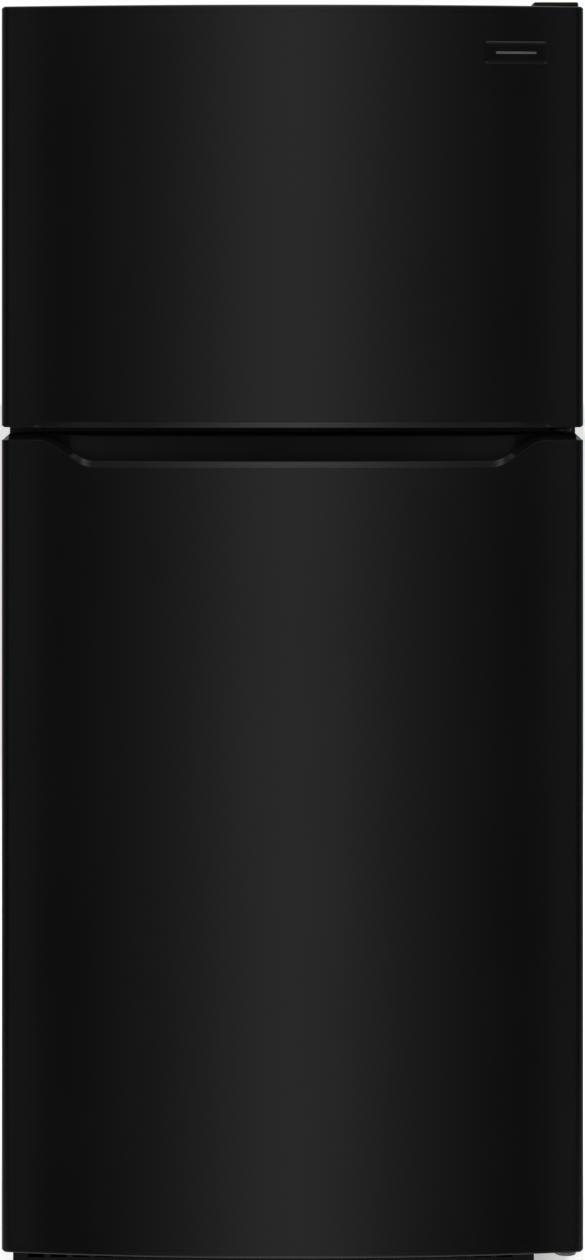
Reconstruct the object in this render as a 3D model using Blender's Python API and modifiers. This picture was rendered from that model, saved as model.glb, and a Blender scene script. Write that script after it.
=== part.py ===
"""A top freezer refrigerator with bowed doors and moulded finger pockets, as separate pieces.

Metres, +Z up. The origin is on the floor under the middle of the bounding box, +X is the hinge side
and -Y is the front. Each door's pieces hang from an empty on its hinge axis.
"""

import math

import bmesh
import bpy
from mathutils import Matrix, Vector

# The whole object
DOOR_WIDTH = 0.760
DEPTH = 0.765
HEIGHT = 1.680
CABINET_WIDTH = 0.748
CABINET_TOP = 1.6615
FRONT = -DEPTH / 2
REAR = DEPTH / 2
CABINET_FRONT = -0.2975
CABINET_REAR = 0.3810
HALF_CABINET = CABINET_WIDTH / 2
SHEET = 0.0008
GAP = 0.0004

# Doors, seen from above: one long arc with a small round at each side
BOW_RADIUS = 2.620
CORNER_RADIUS = 0.012
DOOR_BACK = -0.3118
HALF_DOOR = DOOR_WIDTH / 2
FREEZER_DOOR = (1.1203, 1.6695)
FRIDGE_DOOR = (0.0440, 1.1125)
END_CAP = 0.0095
HINGE_X, HINGE_Y = 0.358, -0.329
PIN_RADIUS, PIN_HOLE_RADIUS = 0.0040, 0.0046

# The finger pockets: their plan positions and depths, and how far down each door's cap reaches
SCOOP_OUTER, SCOOP_INNER = 0.326, 0.271
LIP_OUTER, LIP_INNER = 0.338, 0.3255
POCKET_BACK = -0.3425
FRIDGE_CAP_HEIGHT, FREEZER_CAP_HEIGHT = 0.066, 0.046

# Compartments: the inside faces of the liners
LINER = 0.0015
HALF_INSIDE = 0.3235
FREEZER_FLOOR, FREEZER_CEILING, FREEZER_REAR = 1.1455, 1.6155, 0.3165
FRESH_FLOOR, FRESH_CEILING, FRESH_REAR = 0.1185, 1.0875, 0.3235
STEP_TOP, STEP_REAR = 0.3165, 0.1685
MACHINE_FRONT, MACHINE_TOP, PAN_TOP = 0.2150, 0.2700, 0.0460
FLANGE_INSIDE = 0.334

# Shelves, drawers and bins
SHELF_FRONT, SHELF_BACK = -0.165, 0.315
SHELF_HEIGHTS = {"lower": 0.585, "upper": 0.820}
FREEZER_SHELF_Z = 1.375
CRISPER_COVER = (0.345, 0.357)
BIN_HALF_WIDTH, BIN_BACK = 0.284, -0.3085


def new_collection(name, shown):
    collection = bpy.data.collections.new(name)
    bpy.context.scene.collection.children.link(collection)
    collection.hide_render = not shown
    return collection


def clear_scene():
    for thing in list(bpy.data.objects):
        bpy.data.objects.remove(thing, do_unlink=True)


clear_scene()
PARTS = new_collection("top_freezer_refrigerator", shown=True)
CUTTERS = new_collection("cutters", shown=False)

MATERIALS = {
    "door_black": ((0.016, 0.016, 0.017), 0.22, 0.0),
    "trim_black": ((0.014, 0.014, 0.015), 0.34, 0.0),
    "cabinet_black": ((0.020, 0.020, 0.021), 0.48, 0.0),
    "badge_black": ((0.010, 0.010, 0.011), 0.15, 0.0),
    "liner_white": ((0.82, 0.83, 0.83), 0.35, 0.0),
    "gasket_black": ((0.025, 0.025, 0.026), 0.62, 0.0),
    "clear_plastic": ((0.80, 0.88, 0.90), 0.12, 0.0),
    "shelf_glass": ((0.75, 0.87, 0.84), 0.04, 0.0),
    "zinc_steel": ((0.62, 0.63, 0.64), 0.38, 1.0),
    "foam": ((0.84, 0.76, 0.52), 0.90, 0.0),
    "coil_metal": ((0.70, 0.71, 0.72), 0.35, 1.0),
    "coil_black": ((0.03, 0.03, 0.03), 0.55, 0.0),
    "machine_black": ((0.02, 0.02, 0.02), 0.40, 0.0),
    "fan_grey": ((0.22, 0.22, 0.23), 0.50, 0.0),
    "dark_rubber": ((0.03, 0.03, 0.03), 0.80, 0.0),
}


def material(name):
    if name in bpy.data.materials:
        return bpy.data.materials[name]
    color, roughness, metallic = MATERIALS[name]
    made = bpy.data.materials.new(name)
    made.use_nodes = True
    shader = made.node_tree.nodes["Principled BSDF"]
    shader.inputs["Base Color"].default_value = (*color, 1.0)
    shader.inputs["Roughness"].default_value = roughness
    shader.inputs["Metallic"].default_value = metallic
    return made


def empty(name, location):
    axis = bpy.data.objects.new(name, None)
    axis.location = location
    PARTS.objects.link(axis)
    return axis


def part(obj, finish, parent=None):
    """Puts a finished shape among the parts, with its material, and hangs it from its axis."""
    PARTS.objects.link(obj)
    obj.data.materials.clear()
    obj.data.materials.append(material(finish))
    obj.data.shade_smooth()
    if obj.data.polygons:
        obj.data.set_sharp_from_angle(angle=math.radians(30))
    if parent:
        obj.parent = parent
        obj.matrix_parent_inverse = Matrix.Translation(-parent.location)
    return obj


def mesh_object(name, shape):
    mesh = bpy.data.meshes.new(name)
    shape.to_mesh(mesh)
    shape.free()
    return bpy.data.objects.new(name, mesh)


def box(name, low, high):
    """A box between two corners, with its origin at its middle."""
    shape = bmesh.new()
    bmesh.ops.create_cube(shape, size=1.0)
    bmesh.ops.scale(shape, vec=Vector(high) - Vector(low), verts=shape.verts)
    obj = mesh_object(name, shape)
    obj.location = (Vector(low) + Vector(high)) / 2
    return obj


def wide_box(name, half_width, y_span, z_span):
    """A box centred on the X axis."""
    return box(name, (-half_width, y_span[0], z_span[0]), (half_width, y_span[1], z_span[1]))


def cylinder(name, radius, start, end, segments=20):
    """A cylinder from one point to another."""
    start, end = Vector(start), Vector(end)
    shape = bmesh.new()
    bmesh.ops.create_cone(
        shape, cap_ends=True, segments=segments, radius1=radius, radius2=radius,
        depth=(end - start).length,
    )
    obj = mesh_object(name, shape)
    obj.matrix_world = Matrix.Translation((start + end) / 2) @ (
        (end - start).to_track_quat("Z", "Y").to_matrix().to_4x4()
    )
    return obj


def mesh_from_curve(curve, matrix):
    """A mesh object with the curve's shape, its caps welded to its sides."""
    guide = bpy.data.objects.new(curve.name, curve)
    guide.matrix_world = matrix
    CUTTERS.objects.link(guide)
    bpy.context.view_layer.update()
    graph = bpy.context.evaluated_depsgraph_get()
    mesh = bpy.data.meshes.new_from_object(guide.evaluated_get(graph))
    shape = bmesh.new()
    shape.from_mesh(mesh)
    bmesh.ops.remove_doubles(shape, verts=shape.verts, dist=1e-6)
    bmesh.ops.recalc_face_normals(shape, faces=shape.faces)
    shape.to_mesh(mesh)
    shape.free()
    obj = bpy.data.objects.new(curve.name, mesh)
    obj.matrix_world = guide.matrix_world.copy()
    bpy.data.objects.remove(guide)
    obj.name = curve.name
    return obj


AXIS_FRAMES = {
    "X": Matrix(((0, 0, 1, 0), (1, 0, 0, 0), (0, 1, 0, 0), (0, 0, 0, 1))),
    "Y": Matrix(((1, 0, 0, 0), (0, 0, -1, 0), (0, 1, 0, 0), (0, 0, 0, 1))),
    "Z": Matrix.Identity(4),
}
AXIS_STEPS = {"X": Vector((1, 0, 0)), "Y": Vector((0, 1, 0)), "Z": Vector((0, 0, 1))}


def prism(name, outlines, axis, span):
    """A flat outline, then its holes, swept along an axis. The outline's two numbers are YZ, XZ or XY."""
    curve = bpy.data.curves.new(name, "CURVE")
    curve.dimensions = "2D"
    curve.fill_mode = "BOTH"
    curve.extrude = (span[1] - span[0]) / 2
    for points in outlines:
        spline = curve.splines.new("POLY")
        spline.points.add(len(points) - 1)
        for corner, (u, v) in zip(spline.points, points):
            corner.co = (u, v, 0.0, 1.0)
        spline.use_cyclic_u = True
    middle = AXIS_STEPS[axis] * (span[0] + span[1]) / 2
    return mesh_from_curve(curve, Matrix.Translation(middle) @ AXIS_FRAMES[axis])


def tube(name, points, radius, resolution=1):
    """A round bar along a list of points, with closed ends."""
    curve = bpy.data.curves.new(name, "CURVE")
    curve.dimensions = "3D"
    curve.bevel_depth = radius
    curve.bevel_resolution = resolution
    curve.use_fill_caps = True
    spline = curve.splines.new("POLY")
    spline.points.add(len(points) - 1)
    for corner, point in zip(spline.points, points):
        corner.co = (*point, 1.0)
    return mesh_from_curve(curve, Matrix.Identity(4))


def turned(name, profile, ring=False, steps=24):
    """A profile of (radius, height) turned about its own Z. A ring's profile closes on itself."""
    mesh = bpy.data.meshes.new(name)
    edges = [(i, i + 1) for i in range(len(profile) - 1)]
    if ring:
        edges.append((len(profile) - 1, 0))
    mesh.from_pydata([(radius, 0.0, height) for radius, height in profile], edges, [])
    obj = bpy.data.objects.new(name, mesh)
    screw = obj.modifiers.new("turn", "SCREW")
    screw.steps = screw.render_steps = steps
    screw.use_merge_vertices = True
    screw.merge_threshold = 0.00001
    return obj


def along(obj, direction, location):
    """Turns an object so that its own Z points in a direction, and places it."""
    turn = Vector(direction).to_track_quat("Z", "Y").to_matrix().to_4x4()
    obj.matrix_world = Matrix.Translation(location) @ turn
    return obj


def boolean(obj, other, operation):
    other.hide_render = True
    other.display_type = "WIRE"
    CUTTERS.objects.link(other)
    modifier = obj.modifiers.new(operation.lower(), "BOOLEAN")
    modifier.operation = operation
    modifier.solver = "EXACT"
    modifier.object = other
    return obj


def cut(obj, *others):
    for other in others:
        boolean(obj, other, "DIFFERENCE")
    return obj


def join(obj, *others):
    for other in others:
        boolean(obj, other, "UNION")
    return obj


def round_off(obj, width, segments=2):
    bevel = obj.modifiers.new("round_off", "BEVEL")
    bevel.width = width
    bevel.segments = segments
    bevel.limit_method = "ANGLE"
    bevel.angle_limit = math.radians(50)
    return obj


def rounded(u_span, v_span, radius, segments=4):
    """The corners of a rectangle with round corners."""
    points = []
    corners = ((1, 1, 0), (0, 1, 90), (0, 0, 180), (1, 0, 270))
    for side_u, side_v, start in corners:
        centre_u = u_span[side_u] + (radius if side_u == 0 else -radius)
        centre_v = v_span[side_v] + (radius if side_v == 0 else -radius)
        for step in range(segments + 1):
            angle = math.radians(start + 90 * step / segments)
            points.append((centre_u + radius * math.cos(angle), centre_v + radius * math.sin(angle)))
    return points


def rectangle(u_span, v_span):
    return [(u_span[0], v_span[0]), (u_span[1], v_span[0]), (u_span[1], v_span[1]), (u_span[0], v_span[1])]


def tray(name, x_span, y_span, z_span, wall, radius):
    """An open-topped box with round upright corners."""
    outer = prism(name, [rounded(x_span, y_span, radius, 3)], "Z", z_span)
    inside_x = (x_span[0] + wall, x_span[1] - wall)
    inside_y = (y_span[0] + wall, y_span[1] - wall)
    hollow = prism(name + "_hollow", [rounded(inside_x, inside_y, radius - wall, 3)], "Z",
                   (z_span[0] + wall, z_span[1] + 0.01))
    return cut(outer, hollow)


def smooth_step(start, end, value):
    """0 at start, 1 at end, with a level finish at both."""
    share = min(max((value - start) / (end - start), 0.0), 1.0)
    return share * share * (3 - 2 * share)


# ---------------------------------------------------------------- the doors' plan shape

def corner_centre():
    x = HALF_DOOR - CORNER_RADIUS
    y = FRONT + BOW_RADIUS - math.sqrt((BOW_RADIUS - CORNER_RADIUS) ** 2 - x * x)
    return x, y


def side_stations(inset):
    """(x, y) along the round at the hinge side and in to the pocket's end, from the side inwards."""
    centre_x, centre_y = corner_centre()
    last = math.asin(centre_x / (BOW_RADIUS - CORNER_RADIUS))
    radius = CORNER_RADIUS - inset
    points = []
    for step in range(6):
        angle = (math.pi / 2 - last) * step / 5
        points.append((centre_x + radius * math.cos(angle), centre_y - radius * math.sin(angle)))
    return points


def bow(x, inset):
    radius = BOW_RADIUS - inset
    return FRONT + BOW_RADIUS - math.sqrt(radius * radius - x * x)


def front_line(inset):
    """(x, y) along the door's front from the hinge side to the other, at a depth under its skin."""
    half = side_stations(inset)
    steps = [LIP_OUTER, LIP_INNER]
    steps += [SCOOP_OUTER + (SCOOP_INNER - SCOOP_OUTER) * step / 7 for step in range(1, 8)]
    steps += [SCOOP_INNER * step / 6 for step in range(5, 0, -1)]
    half += [(x, bow(x, inset)) for x in steps]
    return half + [(0.0, FRONT + inset)] + [(-x, y) for x, y in reversed(half)]


def door_outline(inset, back):
    """The door's whole outline in plan."""
    line = front_line(inset)
    return [(line[0][0], back)] + line + [(line[-1][0], back)]


def skin_outline(outer, inner):
    """The outline of a sheet that wraps the front and both sides."""
    outside = door_outline(outer, DOOR_BACK)
    return outside + list(reversed(door_outline(inner, DOOR_BACK)))


# ---------------------------------------------------------------- the doors' end caps

def scoop(x):
    return smooth_step(SCOOP_OUTER, SCOOP_INNER, abs(x))


def lip_span(x):
    return smooth_step(LIP_OUTER, LIP_INNER, abs(x))


def side_fall(x, width, height):
    """How far the end of a door falls away towards its sides, in a straight chamfer."""
    return max(0.0, abs(x) - (HALF_DOOR - width)) * height / width


class CapShape:
    """The numbers of one handle cap. Heights are measured from the door's end into the door."""

    def __init__(self, height, edge, edge_depth, fall, lip_drop, pocket):
        self.height, self.edge, self.edge_depth, self.fall = height, edge, edge_depth, fall
        self.lip_drop, self.pocket = lip_drop, pocket


# edge_depth is at the door's sides, then along the pocket
FRIDGE_CAP = CapShape(FRIDGE_CAP_HEIGHT, 0.0092, (0.0160, 0.0040), (0.0105, 0.0092), 0.0353, 0.0600)
FREEZER_CAP = CapShape(FREEZER_CAP_HEIGHT, 0.0066, (0.0050, 0.0040), (0.0040, 0.0030), 0.0, 0.0320)
LIP_THICKNESS, LIP_ROUND, POCKET_ROUND, SHOULDER = 0.0115, 0.0030, 0.0040, 0.0085
FREEZER_SKIN_EDGE, FREEZER_LIP_BAND = 0.0022, 0.0070
POCKET_TOP_ROUND = 0.0050
# A slope with a small round at both ends, as shares of its depth and of its height
SLOPE = ((1.0, 0.0), (0.88, 0.06), (0.12, 0.90), (0.03, 0.96), (0.0, 1.0))


def cap_section(shape, x, front):
    """(y, height) round a handle cap's section at x: back, pocket, lip and front."""
    share = scoop(x)
    fall = side_fall(x, *shape.fall)
    lip = fall + share * shape.lip_drop
    pocket = fall + share * shape.pocket
    lip_back = front + LIP_THICKNESS + (1 - share) * SHOULDER
    back = max(POCKET_BACK, lip_back + 2 * POCKET_ROUND + 0.001)
    top_round = min(POCKET_TOP_ROUND, (DOOR_BACK - back) / 2)
    edge = max(shape.edge - fall, 0.0)
    depth = shape.edge_depth[0] + (shape.edge_depth[1] - shape.edge_depth[0]) * share
    points = [
        (DOOR_BACK, shape.height),
        (DOOR_BACK, fall),
        (back + top_round, fall),
        (back + 0.3 * top_round, fall + 0.3 * top_round * share),
        (back, fall + top_round * share),
        (back, pocket - POCKET_ROUND * share),
        (back - 0.3 * POCKET_ROUND, pocket - 0.3 * POCKET_ROUND * share),
        (back - POCKET_ROUND, pocket),
        (lip_back + POCKET_ROUND, pocket),
        (lip_back + 0.3 * POCKET_ROUND, pocket - 0.3 * POCKET_ROUND * share),
        (lip_back, pocket - POCKET_ROUND * share),
        (lip_back, lip + LIP_ROUND * share),
        (lip_back - 0.3 * LIP_ROUND, lip + 0.3 * LIP_ROUND * share),
        (lip_back - LIP_ROUND, lip),
    ]
    points += [(front + depth * along_y, lip + edge * along_z) for along_y, along_z in SLOPE]
    return points + [(front, shape.height)]


def loft(name, sections):
    """A closed body through sections that each have the same number of points."""
    shape = bmesh.new()
    rings = [[shape.verts.new(point) for point in section] for section in sections]
    count = len(rings[0])
    for ring, following in zip(rings, rings[1:]):
        for i in range(count):
            j = (i + 1) % count
            shape.faces.new((ring[i], ring[j], following[j], following[i]))
    shape.faces.new(rings[0])
    shape.faces.new(rings[-1])
    bmesh.ops.recalc_face_normals(shape, faces=shape.faces)
    return mesh_object(name, shape)


def skin_edge(shape, x):
    """How far from the door's end its skin stops: just past the round of the cap."""
    if shape is FREEZER_CAP:
        return FREEZER_SKIN_EDGE + lip_span(x) * FREEZER_LIP_BAND
    return shape.edge + GAP + scoop(x) * shape.lip_drop


def edge_cutter(name, shape, end, inward, shift):
    """Everything past the skin's edge at a handle cap, as a block."""
    beyond = end - inward * 0.02
    points = [(0.39, beyond), (0.39, end + inward * (skin_edge(shape, HALF_DOOR) + shift))]
    for x, _ in front_line(0.0):
        points.append((x, end + inward * (skin_edge(shape, x) + shift)))
    points += [(-0.39, points[-1][1]), (-0.39, beyond)]
    return prism(name, [points], "Y", (FRONT - 0.01, DOOR_BACK + 0.01))


def door_skin(name, span, shape, end, inward, parent):
    skin = prism(name, [skin_outline(0.0, SHEET)], "Z", span)
    cut(skin, edge_cutter(name + "_edge", shape, end, inward, 0.0))
    return part(skin, "door_black", parent)


def handle_cap(name, shape, end, inward, parent):
    """A moulded end cap with its finger pocket, cut back where the door's skin laps over it."""
    sections = []
    for x, front in front_line(0.0):
        section = cap_section(shape, x, front)
        sections.append([(x, y, end + inward * height) for y, height in section])
    cap = loft(name, sections)
    reach = sorted((end, end + inward * (shape.height + 0.01)))
    room = prism(name + "_room", [skin_outline(-0.002, SHEET + GAP)], "Z", reach)
    cut(room, edge_cutter(name + "_lap", shape, end, inward, -0.0003))
    hole_end = end + inward * 0.016
    hole = cylinder(name + "_pin_hole", PIN_HOLE_RADIUS, (HINGE_X, HINGE_Y, end - inward * 0.005),
                    (HINGE_X, HINGE_Y, hole_end))
    return part(cut(cap, room, hole), "trim_black", parent)


def end_cap(name, end, inward, height, parent):
    """A plain end cap with a small round along its front and sides."""
    sections = []
    edge = 0.0035
    for x, front in front_line(0.0):
        low = side_fall(x, edge, edge * 0.6)
        section = [(DOOR_BACK, height), (DOOR_BACK, low)]
        for step in range(4):
            angle = math.pi / 2 * step / 3
            drop = low + (edge - low) * (1 - math.cos(angle))
            section.append((front + edge * (1 - math.sin(angle)), drop))
        section.append((front, height))
        sections.append([(x, y, end + inward * z) for y, z in section])
    cap = loft(name, sections)
    hole = cylinder(name + "_pin_hole", PIN_HOLE_RADIUS, (HINGE_X, HINGE_Y, end - inward * 0.005),
                    (HINGE_X, HINGE_Y, end + inward * (height + 0.005)))
    return part(cut(cap, hole), "trim_black", parent)


# ---------------------------------------------------------------- the doors' insides

RIM_HALF, RIM_INSIDE = 0.318, 0.286
RIM_BACK, PLATE_BACK = -0.2620, -0.3095


def door_liner(name, plate, rim, hollow, parent):
    """The door's inner plate with its raised rim."""
    liner = wide_box(name, 0.372, (DOOR_BACK + 0.0003, PLATE_BACK), plate)
    block = round_off(wide_box(name + "_rim", RIM_HALF, (DOOR_BACK + 0.001, RIM_BACK), rim), 0.009)
    recess = round_off(wide_box(name + "_recess", RIM_INSIDE, (PLATE_BACK, -0.200), hollow), 0.006)
    return part(cut(join(liner, block), recess), "liner_white", parent)


def gasket(name, z_span, parent):
    outer = rounded((-0.356, 0.356), z_span, 0.008, 3)
    inner = rounded((-0.339, 0.339), (z_span[0] + 0.017, z_span[1] - 0.017), 0.003, 2)
    ring = prism(name, [outer, inner], "Y", (PLATE_BACK + 0.0003, CABINET_FRONT - 0.0005))
    return part(ring, "gasket_black", parent)


def door_foam(name, span, parent):
    inset = SHEET + GAP
    block = prism(name, [door_outline(inset, DOOR_BACK)], "Z", span)
    return part(block, "foam", parent)


def door_bin(name, x_span, z_span, front, parent):
    return part(tray(name, x_span, (BIN_BACK, front), z_span, 0.0025, 0.012), "clear_plastic", parent)


def badge(parent):
    """A blank plate that follows the door's bow, near its upper hinge corner."""
    x_span, z_span = (0.2495, 0.3325), (1.5935, 1.6228)
    strip = []
    for inset, order in ((-0.0024, 1), (-0.0003, -1)):
        row = [(x_span[0] + (x_span[1] - x_span[0]) * i / 6, inset) for i in range(7)]
        strip += [(x, bow(x, inset)) for x, inset in row[::order]]
    plate = prism("badge_plate", [strip], "Z", (z_span[0] - 0.002, z_span[1] + 0.002))
    face = prism("badge_face", [rounded(x_span, z_span, 0.004, 3)], "Y", (-0.40, -0.34))
    return part(boolean(plate, face, "INTERSECT"), "badge_black", parent)


def freezer_door():
    axis = empty("freezer_door_axis", (HINGE_X, HINGE_Y, FREEZER_DOOR[0]))
    low, high = FREEZER_DOOR
    door_skin("freezer_door_skin", (low, high - END_CAP - 0.0003), FREEZER_CAP, low, 1, axis)
    handle_cap("freezer_door_handle_cap", FREEZER_CAP, low, 1, axis)
    end_cap("freezer_door_top_cap", high, -1, END_CAP, axis)
    door_foam("freezer_door_foam", (low + FREEZER_CAP_HEIGHT + GAP, high - END_CAP - GAP), axis)
    door_liner("freezer_door_liner", (1.1260, 1.6640), (1.1530, 1.6080), (1.1770, 1.5840), axis)
    gasket("freezer_door_gasket", (1.1235, 1.6390), axis)
    for name, height in (("lower", (1.1850, 1.2600)), ("upper", (1.3950, 1.4700))):
        door_bin("freezer_door_rack_" + name, (-BIN_HALF_WIDTH, BIN_HALF_WIDTH), height, -0.2150, axis)
    badge(axis)


def dairy_lid():
    """A flap over the dairy bin, hung along its back edge."""
    back, top = BIN_BACK + 0.004, 0.9480
    profile = [(back, top), (-0.2010, top), (-0.2010, top - 0.0140), (-0.2030, top - 0.0140),
               (-0.2030, top - 0.0025), (back, top - 0.0025)]
    lid = prism("dairy_lid", [profile], "X", (-0.2820, -0.0120))
    shift = Vector((0.0, back, top))
    lid.data.transform(Matrix.Translation(-shift) @ lid.matrix_world)
    lid.matrix_world = Matrix.Translation(shift)
    return part(lid, "clear_plastic")


def fridge_door():
    axis = empty("fridge_door_axis", (HINGE_X, HINGE_Y, FRIDGE_DOOR[0]))
    low, high = FRIDGE_DOOR
    door_skin("fridge_door_skin", (low + END_CAP + 0.0003, high), FRIDGE_CAP, high, -1, axis)
    handle_cap("fridge_door_handle_cap", FRIDGE_CAP, high, -1, axis)
    end_cap("fridge_door_bottom_cap", low, 1, END_CAP, axis)
    door_foam("fridge_door_foam", (low + END_CAP + GAP, high - FRIDGE_CAP_HEIGHT - GAP), axis)
    door_liner("fridge_door_liner", (0.0500, 1.1060), (0.1260, 1.0800), (0.1500, 1.0560), axis)
    gasket("fridge_door_gasket", (0.0830, 1.1095), axis)
    door_bin("dairy_bin", (-BIN_HALF_WIDTH, -0.0100), (0.8600, 0.9450), -0.2050, axis)
    door_bin("door_bin_upper", (0.0100, BIN_HALF_WIDTH), (0.8600, 0.9450), -0.2050, axis)
    door_bin("door_bin_middle", (-BIN_HALF_WIDTH, BIN_HALF_WIDTH), (0.5600, 0.6600), -0.2050, axis)
    door_bin("door_bin_lower", (-BIN_HALF_WIDTH, BIN_HALF_WIDTH), (0.1600, 0.3300), -0.2050, axis)
    lid = dairy_lid()
    lid.parent = axis
    lid.matrix_parent_inverse = Matrix.Translation(-axis.location)


# ---------------------------------------------------------------- the cabinet

def cabinet_panels():
    """The outer steel: two sides and a top with front flanges, and a back."""
    for name, side in (("left", -1), ("right", 1)):
        outside, inside = side * HALF_CABINET, side * (HALF_CABINET - SHEET)
        flange = side * FLANGE_INSIDE
        outline = [(outside, CABINET_FRONT), (outside, 0.3798), (inside, 0.3798),
                   (inside, CABINET_FRONT + SHEET), (flange, CABINET_FRONT + SHEET), (flange, CABINET_FRONT)]
        part(prism("side_panel_" + name, [outline], "Z", (0.0280, CABINET_TOP - 0.0012)), "cabinet_black")
    top = wide_box("top_panel", HALF_CABINET, (CABINET_FRONT, 0.3798), (CABINET_TOP - SHEET, CABINET_TOP))
    flange = wide_box("top_flange", FLANGE_INSIDE - 0.0005, (CABINET_FRONT, CABINET_FRONT + SHEET),
                      (1.6255, CABINET_TOP - SHEET / 2))
    part(join(top, flange), "cabinet_black")
    back = wide_box("back_panel", HALF_CABINET, (0.3802, CABINET_REAR), (0.2860, CABINET_TOP - 0.0004))
    part(back, "cabinet_black")


def front_rail():
    """A channel across the bottom of the cabinet, which takes the levelling legs and the bottom hinge."""
    front, back, low = CABINET_FRONT, -0.2150, 0.0300
    outline = [(front, low), (back, low), (back, 0.0700), (back - 0.0015, 0.0700), (back - 0.0015, low + 0.0015),
               (front + SHEET, low + 0.0015), (front + SHEET, 0.1075), (front, 0.1075)]
    rail = prism("front_rail", [outline], "X", (-FLANGE_INSIDE + 0.0005, FLANGE_INSIDE - 0.0005))
    for side in (-1, 1):
        cut(rail, cylinder("leg_hole", 0.0056, (side * 0.300, -0.2400, 0.02), (side * 0.300, -0.2400, 0.04)))
    part(rail, "cabinet_black")


def base_pan():
    """The machine compartment's floor, with an ear each side of each rear roller and their axles."""
    low = PAN_TOP - 0.0020
    pan = wide_box("base_pan", 0.3728, (0.2070, 0.3796), (low, PAN_TOP))
    join(pan, wide_box("pan_lip", 0.3728, (0.2070, 0.2090), (low, 0.0700)))
    for side in (-1, 1):
        for ear in (0.300, 0.326):
            x = sorted((side * ear, side * (ear + 0.002)))
            join(pan, box("roller_ear", (x[0], 0.2880, 0.0110), (x[1], 0.3120, low + 0.001)))
        join(pan, cylinder("roller_axle", 0.0040, (side * 0.299, 0.300, 0.020), (side * 0.329, 0.300, 0.020), 16))
    part(pan, "zinc_steel")


def cabinet_foam():
    """Insulation between the outer steel and the liners, with a step over the machinery."""
    low, high, rear = 0.0720, CABINET_TOP - 0.0015, 0.3792
    outline = [(-0.2954, low), (MACHINE_FRONT, low), (MACHINE_FRONT, MACHINE_TOP), (rear, MACHINE_TOP),
               (rear, high), (-0.2954, high)]
    half = HALF_CABINET - SHEET - GAP
    foam = prism("cabinet_foam", [outline], "X", (-half, half))
    room = HALF_INSIDE + LINER + GAP
    skin = LINER + GAP
    cut(
        foam,
        wide_box("freezer_room", room, (-0.32, FREEZER_REAR + skin), (FREEZER_FLOOR - skin, FREEZER_CEILING + skin)),
        fresh_space("fresh_room", skin, -0.32),
    )
    part(foam, "foam")


def fresh_space(name, grow, front):
    """The fresh food compartment's space, with its step, grown by a wall's thickness."""
    outline = [
        (front, FRESH_FLOOR - grow), (STEP_REAR + grow, FRESH_FLOOR - grow),
        (STEP_REAR + grow, STEP_TOP - grow), (FRESH_REAR + grow, STEP_TOP - grow),
        (FRESH_REAR + grow, FRESH_CEILING + grow), (front, FRESH_CEILING + grow),
    ]
    half = HALF_INSIDE + grow
    return prism(name, [outline], "X", (-half, half))


LINER_FRONT = CABINET_FRONT + 0.0001


def ledge(side, z, y_span):
    """A shelf support on the liner's side wall, with its top at z."""
    x = sorted((side * 0.3085, side * (HALF_INSIDE + LINER / 2)))
    return box("ledge", (x[0], y_span[0], z - 0.0085), (x[1], y_span[1], z))


def liners():
    flange = FLANGE_INSIDE - 0.0005
    freezer = wide_box("freezer_liner", HALF_INSIDE + LINER, (LINER_FRONT + 0.0005, FREEZER_REAR + LINER),
                       (FREEZER_FLOOR - LINER, FREEZER_CEILING + LINER))
    rim = wide_box("freezer_liner_rim", flange, (LINER_FRONT, LINER_FRONT + LINER), (1.1362, 1.6250))
    hollow = wide_box("freezer_hollow", HALF_INSIDE, (-0.33, FREEZER_REAR), (FREEZER_FLOOR, FREEZER_CEILING))
    cut(join(freezer, rim), hollow)
    for side in (-1, 1):
        join(freezer, ledge(side, FREEZER_SHELF_Z - 0.0006, (-0.170, 0.220)))
    part(freezer, "liner_white")

    fresh = fresh_space("fresh_food_liner", LINER, LINER_FRONT + 0.0005)
    rim = wide_box("fresh_liner_rim", flange, (LINER_FRONT, LINER_FRONT + LINER), (0.1080, 1.0968))
    cut(join(fresh, rim), fresh_space("fresh_hollow", 0.0, -0.33))
    for side in (-1, 1):
        for height in SHELF_HEIGHTS.values():
            join(fresh, ledge(side, height - 0.0006, (-0.150, 0.310)))
        join(fresh, ledge(side, CRISPER_COVER[0] - 0.0006, (-0.150, 0.160)))
    holder = box("switch_holder", (-0.2620, -0.2490, 1.0600), (-0.2380, -0.2150, FRESH_CEILING + LINER / 2))
    slot = box("switch_slot", (-0.2554, -0.2600, 1.0656), (-0.2446, -0.2200, 1.0784))
    part(cut(join(fresh, holder), slot), "liner_white")


def mullion_rail():
    rail = wide_box("mullion_rail", FLANGE_INSIDE - 0.0005, (CABINET_FRONT, CABINET_FRONT + SHEET),
                    (1.0972, 1.1358))
    part(rail, "cabinet_black")


def toe_grille():
    """A slotted strip under the fridge door, with a ledge back to the front rail."""
    front, x_span, z_span = -0.3140, (-0.3680, 0.3180), (0.0215, 0.0405)
    slots = []
    count = 22
    pitch = (x_span[1] - x_span[0] - 0.04) / count
    for i in range(count):
        start = x_span[0] + 0.02 + i * pitch
        slots.append(rectangle((start, start + pitch * 0.72), (0.0262, 0.0342)))
    grille = prism("toe_grille", [rectangle(x_span, z_span)] + slots, "Y", (front, front + 0.0030))
    ledge_box = box("grille_ledge", (x_span[0] + 0.002, front + 0.001, z_span[1] - 0.0025),
                    (x_span[1] - 0.002, CABINET_FRONT - 0.0006, z_span[1] - 0.0002))
    part(join(grille, ledge_box), "trim_black")


# ---------------------------------------------------------------- the hinges

def hinge_plate(name, x_span, front, back, z_span):
    """A flat arm with a round nose, from above."""
    nose = (x_span[1] - x_span[0]) / 2
    centre = (x_span[0] + x_span[1]) / 2
    points = [(x_span[1], back)]
    for step in range(9):
        angle = math.pi * step / 8
        points.append((centre + nose * math.cos(angle), front + nose - nose * math.sin(angle)))
    points.append((x_span[0], back))
    return prism(name, [points], "Z", z_span)


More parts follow.
